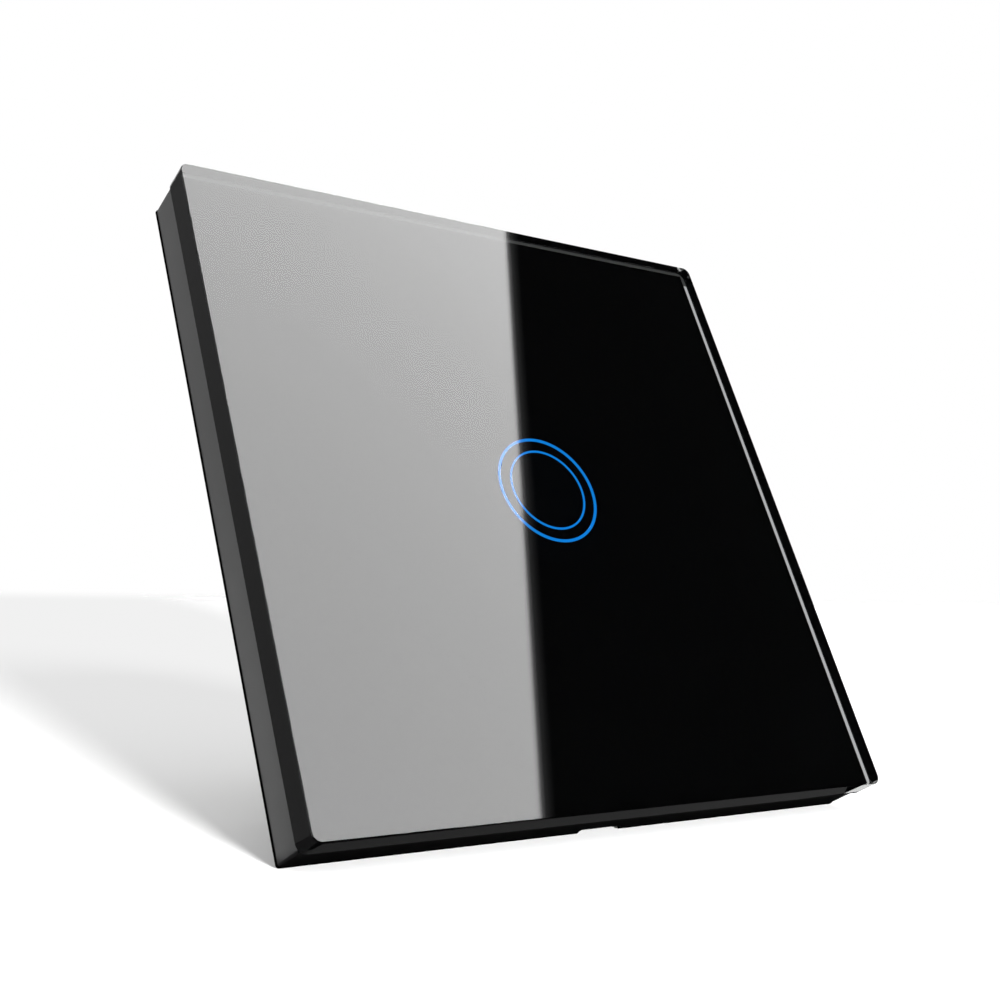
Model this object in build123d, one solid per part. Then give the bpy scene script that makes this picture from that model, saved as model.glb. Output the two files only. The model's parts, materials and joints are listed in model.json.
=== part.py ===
from build123d import *
import math
import os

# Glass-fronted touch light switch for one lamp, with a radio module.
# Lengths are millimetres and angles are degrees.
# X runs to the right across the switch, Y runs from the room into the wall, Z is up.
# The origin is the centre of the switch on the wall plane, where yoke and frame meet the wall.

# Clear glass panel
glass_width = 86.0
glass_height = 86.0
glass_thickness = 4.0
glass_corner_radius = 1.2
glass_back_bevel = 0.35
glass_front_bevel = 0.1
front_projection = 9.2

# Touch rings let into the face of the glass
ring_centre_x = 0.2
ring_centre_z = -0.45
inner_ring_radius = 5.68
inner_ring_line = 0.26
outer_ring_radius = 7.44
outer_ring_line = 0.38
ring_depth = 0.2

# Black print and mounting tape behind the glass
print_thickness = 0.1
print_margin = 0.05
smoked_window_radius = 9.5
tape_thickness = 0.3
tape_width = 3.0
tape_gap = 0.4

# Black plastic frame behind the glass
frame_inset = 0.4
frame_wall = 1.6
frame_corner_radius = 0.3
frame_lip = 0.1
frame_lip_height = 0.3
ledge_width = 4.0
ledge_thickness = 1.2
pry_notch_width = 6.4
pry_notch_depth = 1.0
pry_notch_x = 0.25

# Tabs of the frame that grip the edge of the yoke
tab_width = 10.0
tab_thickness = 1.5
tab_pitch = 36.0
tab_clearance = 0.05
tab_wall_gap = 1.45
tab_end_gap = 0.3

# Steel yoke that is screwed to the wall box
yoke_thickness = 1.0
yoke_corner_radius = 4.0
fixing_pitch = 60.3
fixing_slot_width = 4.2
fixing_slot_length = 7.0

# Plastic cover in front of the yoke
cover_thickness = 2.0
cover_gap = 1.0
cover_corner_radius = 3.0
cover_edge_chamfer = 0.3
fixing_well_height = 12.0
fixing_well_margin = 1.7

# Rear housing, which sits in the wall box
housing_width = 50.0
housing_height = 50.0
housing_depth = 25.1
housing_wall = 1.8
housing_corner_radius = 3.0
housing_edge_chamfer = 0.8
screw_tube_diameter = 7.0
screw_tube_merge = 0.3
screw_seat_length = 6.0
board_rib_thickness = 2.0
board_rib_height = 8.0

# Screws that pull the housing, yoke and cover together
housing_screw_diameter = 2.6
housing_screw_head_diameter = 4.6
housing_screw_head_height = 1.8
screw_clearance = 0.2
thread_clearance = 0.02
cover_boss_diameter = 6.0
cover_boss_length = 4.0
cover_skin = 1.2
screw_tip_gap = 0.3

# Cross recess of every screw head
recess_depth = 0.8
recess_width = 0.7
recess_share = 0.7

# Touch board behind the cover
touch_board_thickness = 1.0
touch_board_gap = 0.9
touch_board_standoff = 1.4
boss_gap = 0.5
touch_screw_diameter = 2.0
touch_screw_head_diameter = 3.8
touch_screw_head_height = 1.2
touch_screw_length = 3.0
touch_screw_inset = 3.8
touch_boss_diameter = 4.4

# Light guide, its seal and the foam that senses the finger
guide_body_margin = 1.0
guide_flange_width = 1.3
guide_flange_thickness = 0.8
guide_ring_line = 1.0
guide_fit = 0.1
seal_width = 1.1
foam_diameter = 8.0
foam_gap = 0.3
glass_contact_gap = 0.1
led_count = 4
led_length = 1.6
led_width = 0.8
led_height = 0.5

# Radio module and touch chip on the back of the touch board
radio_width = 16.0
radio_height = 22.0
radio_board_thickness = 0.8
radio_edge_gap = 2.6
radio_centre_z = 2.5
shield_width = 12.0
shield_height = 13.0
shield_thickness = 2.0
shield_wall = 0.3
shield_drop = 2.5
touch_chip_width = 5.0
touch_chip_height = 4.0
touch_chip_thickness = 1.5
touch_chip_x = 8.0
touch_chip_gap = 1.85

# Pin header between the two boards
header_pins_count = 6
header_pitch = 2.54
header_pin_radius = 0.32
header_pin_tail = 1.2
header_body_width = 2.5
header_strip_thickness = 2.5
header_socket_length = 4.0
header_socket_floor = 0.6
header_x = 8.0
header_gap = 2.6
pin_clearance = 0.05

# Power board
power_board_thickness = 1.6
power_board_gap = 0.3
tube_gap = 0.4
part_gap = 0.4
rectifier_width = 6.5
rectifier_height = 4.0
rectifier_thickness = 2.4
power_chip_width = 5.0
power_chip_height = 4.0
power_chip_thickness = 1.6
small_parts_x = 9.0
small_parts_gap = 0.85

# Capacitors, surge disc, fuse and choke on the back of the power board
capacitor_diameter = 8.0
capacitor_height = 9.4
capacitor_crimp = 0.35
capacitor_count = 2
upper_row_margin = 3.8
varistor_diameter = 9.0
varistor_thickness = 3.6
fuse_diameter = 5.0
fuse_height = 7.5
choke_diameter = 7.0
choke_height = 7.6
choke_flange = 1.0
choke_waist = 1.1

# Transformer
transformer_width = 12.0
transformer_height = 9.6
transformer_depth = 4.8
transformer_leg = 2.8
transformer_window = 2.1
transformer_yoke = 2.0
winding_gap = 0.1
winding_overhang = 2.2
tall_parts_gap = 1.0

# Relay
relay_length = 18.0
relay_width = 12.0
relay_height = 10.2
relay_case_wall = 0.6
relay_base_thickness = 1.2
relay_fit = 0.05
relay_iron = 0.9
relay_bobbin_diameter = 8.0
relay_coil_diameter = 7.2
relay_flange = 0.5
relay_core_radius = 1.5
relay_core_proud = 0.2
relay_iron_width = 7.0
relay_yoke_edge = 0.8
relay_coil_gap = 0.5
relay_leaf_thickness = 0.2
relay_leaf_width = 4.0
relay_contact_radius = 1.2
relay_contact_height = 0.6
relay_contact_edge = 1.5
relay_strip = 0.5
relay_swing = 4.0
relay_closed_gap = 0.05
relay_head_room = 1.1
relay_pin_radius = 0.4
relay_pin_tail = 1.0

# Terminal block: screws, rising clamps and contact bars
terminal_names = ("live", "neutral", "lamp")
terminal_pitch = 8.0
terminal_wall = 1.4
terminal_top_wall = 1.0
terminal_front_wall = 1.0
terminal_fit = 0.2
port_wall = 2.4
port_radius = 1.5
port_funnel = 0.5
clamp_width = 6.0
clamp_length = 5.0
clamp_side = 0.9
clamp_floor = 1.0
clamp_nut = 1.6
clamp_clearance = 0.3
clamp_end_gap = 0.2
clamp_travel = 2.5
wire_gap = 3.0
bar_thickness = 1.0
bar_side_gap = 0.2
bar_leg = 0.8
bar_leg_gap = 0.5
bar_pin_radius = 0.6
bar_pin_tail = 1.0
terminal_screw_radius = 1.5
terminal_screw_fit = 0.03
terminal_head_radius = 2.7
terminal_head_height = 1.3
terminal_head_gap = 0.2
terminal_lip = 0.4
terminal_lip_radius = 2.3

# Depths along Y, from the face of the glass to the back of the cover
glass_front = -front_projection
glass_back = glass_front + glass_thickness
print_back = glass_back + print_thickness
tape_back = print_back + tape_thickness
ledge_back = tape_back + ledge_thickness
cover_back = -yoke_thickness
cover_front = cover_back - cover_thickness

# Outlines across the switch
frame_width = glass_width - 2 * frame_inset
frame_height = glass_height - 2 * frame_inset
frame_inner_width = frame_width - 2 * frame_wall
frame_inner_height = frame_height - 2 * frame_wall
yoke_edge_gap = tab_thickness + tab_clearance + tab_wall_gap
yoke_width = frame_inner_width - 2 * yoke_edge_gap
yoke_height = frame_inner_height - 2 * yoke_edge_gap
cover_width = frame_inner_width - 2 * (ledge_width + cover_gap)
cover_height = frame_inner_height - 2 * (ledge_width + cover_gap)
inner_width = housing_width - 2 * housing_wall
inner_height = housing_height - 2 * housing_wall

# Corner screws of the housing
tube_x = inner_width / 2 - screw_tube_diameter / 2 + screw_tube_merge
tube_z = inner_height / 2 - screw_tube_diameter / 2 + screw_tube_merge
boss_end = cover_back + cover_boss_length
screw_seat = boss_end + screw_seat_length
corner_screws = [(side * tube_x, level * tube_z) for side in (-1, 1) for level in (-1, 1)]

# Touch board
touch_board_front = cover_back + touch_board_standoff
touch_board_back = touch_board_front + touch_board_thickness
touch_board_width = inner_width - 2 * touch_board_gap
touch_board_height = inner_height - 2 * touch_board_gap
touch_screw_z = touch_board_height / 2 - touch_screw_inset
touch_screws = [(0, level * touch_screw_z) for level in (-1, 1)]

# Light guide
guide_radius = outer_ring_radius + guide_ring_line / 2 + guide_body_margin
guide_flange_radius = guide_radius + guide_flange_width
guide_front = print_back + glass_contact_gap
guide_back = cover_back + guide_flange_thickness
led_radius = (inner_ring_radius + outer_ring_radius) / 2

# Power board
power_board_width = inner_width - 2 * power_board_gap
power_board_height = inner_height - 2 * power_board_gap

# Terminal cell along Y, built up from its front wall to the rear face of the housing
clamp_height = clamp_floor + wire_gap + bar_thickness + clamp_end_gap + clamp_nut
cell_depth = clamp_end_gap + clamp_height + clamp_travel + clamp_end_gap / 2
head_room = terminal_head_height + terminal_head_gap
terminal_stack = terminal_front_wall + cell_depth + head_room + terminal_lip
tallest_part = max(relay_height, transformer_height, capacitor_height, varistor_diameter)
rear_room = max(terminal_stack, tallest_part + part_gap + housing_wall)
power_board_back = housing_depth - rear_room
power_board_front = power_board_back - power_board_thickness
housing_floor = housing_depth - housing_wall
head_back = housing_depth - terminal_lip - terminal_head_gap / 2
head_front = head_back - terminal_head_height
cell_back = housing_depth - terminal_lip - head_room
cell_front = cell_back - cell_depth
clamp_front = cell_front + clamp_end_gap
bar_front = clamp_front + clamp_floor + wire_gap
bar_back = bar_front + bar_thickness
port_y = bar_front - wire_gap / 2

# Terminal block across the switch
terminal_count = len(terminal_names)
terminal_x = [(place - (terminal_count - 1) / 2) * terminal_pitch for place in range(terminal_count)]
cell_width = clamp_width + 2 * clamp_clearance
terminal_width = (terminal_count - 1) * terminal_pitch + cell_width + 2 * terminal_wall
terminal_bottom = -housing_height / 2
cell_bottom = terminal_bottom + port_wall
clamp_bottom = cell_bottom + clamp_clearance
clamp_top = clamp_bottom + clamp_length
bar_leg_bottom = clamp_top + bar_leg_gap
bar_leg_top = bar_leg_bottom + bar_leg
cell_top = bar_leg_top + clamp_clearance
terminal_top = cell_top + terminal_top_wall
clamp_middle_z = (clamp_bottom + clamp_top) / 2
bar_pin_z = (bar_leg_bottom + bar_leg_top) / 2

# Relay, beside the right-hand rib and above the terminal block
relay_x = inner_width / 2 - board_rib_thickness - tall_parts_gap - relay_length / 2
relay_z = terminal_top + tall_parts_gap + relay_width / 2
relay_floor = power_board_back + relay_base_thickness
relay_left = relay_x - relay_length / 2 + relay_case_wall + relay_yoke_edge
relay_pivot_x = relay_left + relay_iron
relay_coil_x = relay_pivot_x + relay_coil_gap + relay_bobbin_diameter / 2
relay_right = relay_x + relay_length / 2 - relay_case_wall
relay_contact_x = relay_right - relay_contact_edge - relay_contact_radius
relay_drop = math.sin(math.radians(relay_swing))
relay_pole_gap = (relay_coil_x + relay_core_radius - relay_pivot_x) * relay_drop + relay_closed_gap
relay_contact_gap = (relay_contact_x + relay_contact_radius - relay_pivot_x) * relay_drop + relay_closed_gap
relay_ceiling = power_board_back + relay_height - relay_case_wall
relay_armature_back = relay_ceiling - relay_head_room
relay_armature_front = relay_armature_back - relay_iron
relay_core_back = relay_armature_front - relay_pole_gap
relay_bobbin_back = relay_core_back - relay_core_proud
relay_bobbin_front = relay_floor + relay_iron
relay_moving_front = relay_armature_back - relay_iron
relay_fixed_back = relay_moving_front - relay_contact_gap
relay_strip_back = relay_fixed_back - relay_contact_height
relay_coil_pin_x = (relay_coil_x - relay_coil_gap, relay_coil_x + relay_coil_gap)

# Transformer, beside the left-hand rib and level with the relay
transformer_x = -(inner_width / 2 - board_rib_thickness - tall_parts_gap - transformer_width / 2)
transformer_z = relay_z

# Pin header, between the relay and the row of capacitors, and the small parts above it
header_z = relay_z + relay_width / 2 + header_gap
header_top = header_z + header_body_width / 2
upper_row_z = header_z + header_gap + capacitor_diameter / 2
small_parts_z = header_top + small_parts_gap + rectifier_height / 2
touch_chip_z = header_top + touch_chip_gap + touch_chip_height / 2
header_length = header_pins_count * header_pitch
header_x_first = header_x - (header_pins_count - 1) * header_pitch / 2
header_places = [header_x_first + place * header_pitch for place in range(header_pins_count)]


def wall_sketch(sketch, back, x=0, z=0):
    """Lays a sketch parallel to the wall, with its centre at x and z."""
    return Plane.XZ.offset(-back) * Pos(x, z) * sketch


def layer(sketch, front, back, x=0, z=0):
    """A piece of even thickness, parallel to the wall."""
    return extrude(wall_sketch(sketch, back, x, z), amount=back - front)


def plate(width, height, front, back, x=0, z=0):
    """A square-cornered plate, parallel to the wall."""
    return layer(Rectangle(width, height), front, back, x, z)


def rounded_plate(width, height, radius, front, back, x=0, z=0):
    """A round-cornered plate, parallel to the wall."""
    return layer(RectangleRounded(width, height, radius), front, back, x, z)


def disc(radius, front, back, x=0, z=0):
    """A round piece whose axis runs into the wall."""
    return layer(Circle(radius), front, back, x, z)


def ring(outer, inner, front, back, x=0, z=0):
    """A round piece with a round hole."""
    return disc(outer, front, back, x, z) - disc(inner, front, back, x, z)


def cross_recess(radius, top, depth, x, z):
    """The cross that a screwdriver fits, sunk into a head that faces the back."""
    length = 2 * radius * recess_share
    upright = plate(recess_width, length, top - depth, top, x, z)
    return upright + plate(length, recess_width, top - depth, top, x, z)


def front_face(shape):
    """The face of a piece that lies nearest the room."""
    return shape.faces().sort_by(Axis.Y)[0]


def back_face(shape):
    """The face of a piece that lies deepest in the wall."""
    return shape.faces().sort_by(Axis.Y)[-1]


def touch_ring(radius, line):
    """One ring of the touch mark, flush with the face of the glass."""
    outer = radius + line / 2
    inner = radius - line / 2
    return ring(outer, inner, glass_front, glass_front + ring_depth, ring_centre_x, ring_centre_z)


def glass_panel():
    """Clear glass with bevelled edges and two grooves for the rings."""
    sheet = rounded_plate(glass_width, glass_height, glass_corner_radius, glass_front, glass_back)
    sheet = chamfer(front_face(sheet).edges(), glass_front_bevel)
    sheet = chamfer(back_face(sheet).edges(), glass_back_bevel)
    sheet -= touch_ring(inner_ring_radius, inner_ring_line)
    return sheet - touch_ring(outer_ring_radius, outer_ring_line)


def inner_touch_ring():
    """Translucent enamel in the inner groove."""
    return touch_ring(inner_ring_radius, inner_ring_line)


def outer_touch_ring():
    """Translucent enamel in the outer groove."""
    return touch_ring(outer_ring_radius, outer_ring_line)


def printed_sheet(front, back, edge):
    """The outline of the glass's flat back, drawn in by an edge."""
    width = glass_width - 2 * edge
    height = glass_height - 2 * edge
    radius = max(glass_corner_radius - edge, print_thickness)
    return rounded_plate(width, height, radius, front, back)


def back_print():
    """Black ink over the back of the glass, open behind the rings."""
    sheet = printed_sheet(glass_back, print_back, glass_back_bevel + print_margin)
    return sheet - disc(smoked_window_radius, glass_back, print_back, ring_centre_x, ring_centre_z)


def smoked_window():
    """Dark see-through ink that hides the light guide until it is lit."""
    return disc(smoked_window_radius, glass_back, print_back, ring_centre_x, ring_centre_z)


def panel_tape():
    """Double-sided tape on the ledge of the frame."""
    width = frame_inner_width - 2 * tape_gap
    height = frame_inner_height - 2 * tape_gap
    tape = plate(width, height, print_back, tape_back)
    return tape - plate(width - 2 * tape_width, height - 2 * tape_width, print_back, tape_back)


def frame_lip_solid():
    """The raised lip round the back edge of the frame, with a slope towards the glass."""
    width = frame_width + 2 * frame_lip
    height = frame_height + 2 * frame_lip
    outline = RectangleRounded(width, height, frame_corner_radius + frame_lip)
    lip = layer(outline, -frame_lip_height, 0)
    return lip + extrude(wall_sketch(outline, -frame_lip_height), amount=frame_lip, taper=45)


def frame_tabs():
    """Four tabs under the ledge that grip the top and bottom edges of the yoke."""
    inner = yoke_height / 2 + tab_clearance
    tabs = []
    for side in (-1, 1):
        for level in (-1, 1):
            centre_z = level * (inner + tab_thickness / 2)
            centre_x = side * tab_pitch / 2
            tabs.append(plate(tab_width, tab_thickness, ledge_back, -tab_end_gap, centre_x, centre_z))
    return tabs


def front_frame():
    """Frame that carries the glass, with a ledge for the tape and a notch to pry it off."""
    frame = rounded_plate(frame_width, frame_height, frame_corner_radius, print_back, 0)
    frame += frame_lip_solid()
    frame -= plate(frame_inner_width, frame_inner_height, print_back, 0)
    ledge = plate(frame_inner_width, frame_inner_height, tape_back, ledge_back)
    opening_width = frame_inner_width - 2 * ledge_width
    opening_height = frame_inner_height - 2 * ledge_width
    frame += ledge - plate(opening_width, opening_height, tape_back, ledge_back)
    for tab in frame_tabs():
        frame += tab
    notch_height = 2 * (frame_wall + frame_lip)
    return frame - plate(pry_notch_width, notch_height, -pry_notch_depth, 0, pry_notch_x, -frame_height / 2)


def yoke_plate():
    """Steel plate with a window for the housing and two slots for the wall-box screws."""
    yoke = rounded_plate(yoke_width, yoke_height, yoke_corner_radius, cover_back, 0)
    yoke -= plate(inner_width, inner_height, cover_back, 0)
    for side in (-1, 1):
        slot = SlotOverall(fixing_slot_length, fixing_slot_width)
        yoke -= layer(slot, cover_back, 0, side * fixing_pitch / 2)
    return yoke


def fixing_wells():
    """Openings at both sides of the cover that leave room for the fixing screws."""
    inner = fixing_pitch / 2 - fixing_slot_length / 2 - fixing_well_margin
    width = cover_width / 2 - inner
    centre = inner + width / 2
    return [
        plate(width, fixing_well_height, cover_front, cover_back, side * centre)
        for side in (-1, 1)
    ]


def base_cover():
    """Cover in front of the yoke, with bosses for the housing screws and the touch board."""
    cover = rounded_plate(cover_width, cover_height, cover_corner_radius, cover_front, cover_back)
    for well in fixing_wells():
        cover -= well
    cover = chamfer(front_face(cover).edges(), cover_edge_chamfer)
    hole_radius = guide_radius + guide_fit
    cover -= disc(hole_radius, cover_front, cover_back, ring_centre_x, ring_centre_z)
    pilot = housing_screw_diameter / 2 + thread_clearance
    for x, z in corner_screws:
        cover += disc(cover_boss_diameter / 2, cover_back, boss_end, x, z)
        cover -= disc(pilot, cover_front + cover_skin, boss_end, x, z)
    pilot = touch_screw_diameter / 2 + thread_clearance
    for x, z in touch_screws:
        cover += disc(touch_boss_diameter / 2, cover_back, touch_board_front, x, z)
        cover -= disc(pilot, cover_front + cover_skin, touch_board_front, x, z)
    return cover


def light_guide():
    """Milky guide with one raised ring behind each ring of the glass."""
    place = (ring_centre_x, ring_centre_z)
    guide = disc(guide_flange_radius, cover_back, guide_back, *place)
    guide += disc(guide_radius, cover_front, cover_back, *place)
    for radius in (inner_ring_radius, outer_ring_radius):
        outer = radius + guide_ring_line / 2
        guide += ring(outer, outer - guide_ring_line, guide_front, cover_front, *place)
    return guide - disc(foam_diameter / 2 + foam_gap, guide_front, guide_back, *place)


def light_seal():
    """Soft black ring that keeps stray light in."""
    inner = guide_flange_radius - seal_width
    return ring(guide_flange_radius, inner, guide_back, touch_board_front, ring_centre_x, ring_centre_z)


def touch_foam():
    """Conductive foam that carries the touch signal from the glass to the board."""
    return disc(foam_diameter / 2, guide_front, touch_board_front, ring_centre_x, ring_centre_z)


def ring_lights():
    """Blue lamps on the touch board, spread round the light guide."""
    lamps = []
    for place in range(led_count):
        angle = (place + 1 / 2) * 360 / led_count
        lamp = Pos(led_radius, 0) * Rectangle(led_width, led_length)
        sketch = Pos(ring_centre_x, ring_centre_z) * Rot(0, 0, angle) * lamp
        lamps.append(layer(sketch, touch_board_front - led_height, touch_board_front))
    return Compound(children=lamps)


def notched_board(width, height, front, back, keep_x, keep_z):
    """A circuit board whose corners are cut away round the housing screws."""
    board = plate(width, height, front, back)
    corner_width = width / 2 - keep_x
    corner_height = height / 2 - keep_z
    for side in (-1, 1):
        for level in (-1, 1):
            centre_x = side * (keep_x + corner_width / 2)
            centre_z = level * (keep_z + corner_height / 2)
            board -= plate(corner_width, corner_height, front, back, centre_x, centre_z)
    return board


def touch_board():
    """Board with the touch sensor and the lamps, screwed to the back of the cover."""
    reach = cover_boss_diameter / 2 + boss_gap
    board = notched_board(
        touch_board_width,
        touch_board_height,
        touch_board_front,
        touch_board_back,
        tube_x - reach,
        tube_z - reach,
    )
    for x, z in touch_screws:
        hole = touch_screw_diameter / 2 + screw_clearance / 2
        board -= disc(hole, touch_board_front, touch_board_back, x, z)
    return board


def headed_screw(radius, tip, seat, head_radius, head_height, x, z):
    """A pan-head screw that is driven from the back."""
    top = seat + head_height
    screw = disc(head_radius, seat, top, x, z)
    screw = fillet(back_face(screw).edges(), head_height / 3)
    screw += disc(radius, tip, seat, x, z)
    return screw - cross_recess(head_radius, top, min(recess_depth, head_height * recess_share), x, z)


def touch_board_screws():
    """Two small screws through the touch board."""
    tip = touch_board_back - touch_screw_length
    return Compound(children=[
        headed_screw(
            touch_screw_diameter / 2,
            tip,
            touch_board_back,
            touch_screw_head_diameter / 2,
            touch_screw_head_height,
            x,
            z,
        )
        for x, z in touch_screws
    ])


def radio_place():
    """Where the radio module lies on the touch board."""
    x = -(touch_board_width / 2 - radio_edge_gap - radio_width / 2)
    return x, radio_centre_z


def radio_board():
    """Small board of the radio module."""
    x, z = radio_place()
    back = touch_board_back + radio_board_thickness
    return plate(radio_width, radio_height, touch_board_back, back, x, z)


def radio_shield():
    """Drawn metal can over the chips of the radio module."""
    x, z = radio_place()
    z -= shield_drop
    front = touch_board_back + radio_board_thickness
    back = front + shield_thickness
    can = plate(shield_width, shield_height, front, back, x, z)
    can = fillet(can.edges().filter_by(Axis.Y), shield_wall)
    inner_can_width = shield_width - 2 * shield_wall
    inner_can_height = shield_height - 2 * shield_wall
    return can - plate(inner_can_width, inner_can_height, front, back - shield_wall, x, z)


def touch_chip():
    """Chip that reads the touch sensor."""
    back = touch_board_back + touch_chip_thickness
    return plate(touch_chip_width, touch_chip_height, touch_board_back, back, touch_chip_x, touch_chip_z)


def header_holes(shape, front, back, radius):
    """Drills one hole for each header pin."""
    for x in header_places:
        shape -= disc(radius, front, back, x, header_z)
    return shape


def header_socket():
    """Socket on the touch board."""
    back = touch_board_back + header_socket_length
    socket = plate(header_length, header_body_width, touch_board_back, back, header_x, header_z)
    floor = touch_board_back + header_socket_floor
    return header_holes(socket, floor, back, header_pin_radius + pin_clearance)


def header_strip():
    """Plastic strip that spaces the pins on the power board."""
    front = power_board_front - header_strip_thickness
    strip = plate(header_length, header_body_width, front, power_board_front, header_x, header_z)
    return header_holes(strip, front, power_board_front, header_pin_radius + thread_clearance)


def header_pins():
    """Pins that join the two boards."""
    front = touch_board_back + header_socket_floor + pin_clearance
    back = power_board_back + header_pin_tail
    return Compound(children=[
        disc(header_pin_radius, front, back, x, header_z)
        for x in header_places
    ])


def power_board():
    """Board that carries the relay, the power supply and the terminals."""
    reach = screw_tube_diameter / 2 + tube_gap
    board = notched_board(
        power_board_width,
        power_board_height,
        power_board_front,
        power_board_back,
        tube_x - reach,
        tube_z - reach,
    )
    board = header_holes(board, power_board_front, power_board_back, header_pin_radius + pin_clearance)
    for x in terminal_x:
        board -= disc(bar_pin_radius + pin_clearance, power_board_front, power_board_back, x, bar_pin_z)
    for x, z in relay_pin_places():
        board -= disc(relay_pin_radius + pin_clearance, power_board_front, power_board_back, x, z)
    return board


def rectifier():
    """Bridge rectifier on the front of the power board."""
    front = power_board_front - rectifier_thickness
    return plate(rectifier_width, rectifier_height, front, power_board_front, -small_parts_x, small_parts_z)


def power_chip():
    """Power supply chip on the front of the power board."""
    front = power_board_front - power_chip_thickness
    return plate(power_chip_width, power_chip_height, front, power_board_front, small_parts_x, small_parts_z)


def upper_row_places():
    """Centres along X of the parts in the row above the relay, from left to right."""
    widths = [capacitor_diameter] * capacitor_count
    widths += [varistor_thickness, fuse_diameter, choke_diameter]
    room = power_board_width - 2 * upper_row_margin
    space = (room - sum(widths)) / len(widths[1:])
    x = -room / 2
    places = []
    for width in widths:
        places.append(x + width / 2)
        x += width + space
    return places


def bulk_capacitors():
    """Electrolytic capacitors, each with a crimped groove near its foot."""
    cans = []
    for x in upper_row_places()[:capacitor_count]:
        back = power_board_back + capacitor_height
        can = disc(capacitor_diameter / 2, power_board_back, back, x, upper_row_z)
        can = fillet(can.edges().filter_by(GeomType.CIRCLE), capacitor_crimp)
        groove_front = power_board_back + 3 * capacitor_crimp
        outer = capacitor_diameter / 2 + capacitor_crimp
        inner = capacitor_diameter / 2 - capacitor_crimp
        groove = ring(outer, inner, groove_front, groove_front + capacitor_crimp, x, upper_row_z)
        cans.append(can - groove)
    return Compound(children=cans)


def surge_varistor():
    """Disc that takes up voltage surges, standing on its edge."""
    x = upper_row_places()[capacitor_count]
    centre_y = power_board_back + varistor_diameter / 2
    lying = Cylinder(varistor_diameter / 2, varistor_thickness)
    lying = fillet(lying.edges(), varistor_thickness / 4)
    return Pos(x, centre_y, upper_row_z) * Rot(0, 90, 0) * lying


def fuse():
    """Small round fuse."""
    x = upper_row_places()[capacitor_count + 1]
    body = disc(fuse_diameter / 2, power_board_back, power_board_back + fuse_height, x, upper_row_z)
    return fillet(back_face(body).edges(), capacitor_crimp)


def filter_choke():
    """Choke wound on a spool-shaped core, at the end of the row."""
    x = upper_row_places()[-1]
    back = power_board_back + choke_height
    spool = disc(choke_diameter / 2, power_board_back, back, x, upper_row_z)
    waist = choke_diameter / 2 - choke_waist
    groove_front = power_board_back + choke_flange
    return spool - ring(choke_diameter, waist, groove_front, back - choke_flange, x, upper_row_z)


def transformer_core():
    """Ferrite core with a window on each side of its middle leg."""
    middle = power_board_back + transformer_height / 2
    back = power_board_back + transformer_height
    core = plate(transformer_width, transformer_depth, power_board_back, back, transformer_x, transformer_z)
    window_width = transformer_width - 2 * transformer_yoke
    for side in (-1, 1):
        centre = middle + side * (transformer_leg + transformer_window) / 2
        front = centre - transformer_window / 2
        window = plate(window_width, transformer_depth, front, front + transformer_window)
        core -= Pos(transformer_x, 0, transformer_z) * window
    return core


def transformer_winding():
    """Winding round the middle leg of the transformer."""
    middle = power_board_back + transformer_height / 2
    width = transformer_width - 2 * (transformer_yoke + winding_gap)
    half = transformer_leg / 2 + transformer_window - winding_gap
    height = transformer_depth + 2 * winding_overhang
    coil = plate(width, height, middle - half, middle + half, transformer_x, transformer_z)
    coil = fillet(coil.edges().filter_by(Axis.X), transformer_window / 2)
    hole = transformer_leg / 2 + winding_gap
    hole_height = transformer_depth + 2 * winding_gap
    return coil - plate(width, hole_height, middle - hole, middle + hole, transformer_x, transformer_z)


def relay_case():
    """Clear-walled cap of the relay, open towards the board."""
    back = power_board_back + relay_height
    case = plate(relay_length, relay_width, power_board_back, back, relay_x, relay_z)
    case = fillet(case.edges().filter_by(Axis.Y), relay_case_wall)
    hollow_length = relay_length - 2 * relay_case_wall
    hollow_width = relay_width - 2 * relay_case_wall
    return case - plate(hollow_length, hollow_width, power_board_back, relay_ceiling, relay_x, relay_z)


def relay_pin_places():
    """Where the four pins of the relay go through its base and the board."""
    coil = [(x, relay_z + side * relay_iron_width / 2) for x, side in zip(relay_coil_pin_x, (-1, 1))]
    common = (relay_left + relay_iron / 2, relay_z)
    contact = (relay_right - relay_contact_edge / 2, relay_z)
    return coil + [common, contact]


def relay_base():
    """Plastic base that closes the relay."""
    length = relay_length - 2 * (relay_case_wall + relay_fit)
    width = relay_width - 2 * (relay_case_wall + relay_fit)
    base = plate(length, width, power_board_back, relay_floor, relay_x, relay_z)
    for x, z in relay_pin_places():
        base -= disc(relay_pin_radius + thread_clearance, power_board_back, relay_floor, x, z)
    return base


def relay_pins():
    """Four pins that join the relay to the board."""
    front = power_board_front - relay_pin_tail
    return Compound(children=[
        disc(relay_pin_radius, front, relay_floor, x, z)
        for x, z in relay_pin_places()
    ])


def relay_yoke():
    """Bent iron that leads the magnetic field round the coil."""
    foot_right = relay_coil_x + relay_core_radius + relay_coil_gap
    foot_length = foot_right - relay_left
    foot_x = relay_left + foot_length / 2
    foot = plate(foot_length, relay_iron_width, relay_floor, relay_bobbin_front, foot_x, relay_z)
    leg_x = relay_left + relay_iron / 2
    leg_back = relay_armature_front - thread_clearance
    return foot + plate(relay_iron, relay_iron_width, relay_floor, leg_back, leg_x, relay_z)


def relay_core():
    """Iron core of the coil."""
    return disc(relay_core_radius, relay_bobbin_front, relay_core_back, relay_coil_x, relay_z)


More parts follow.
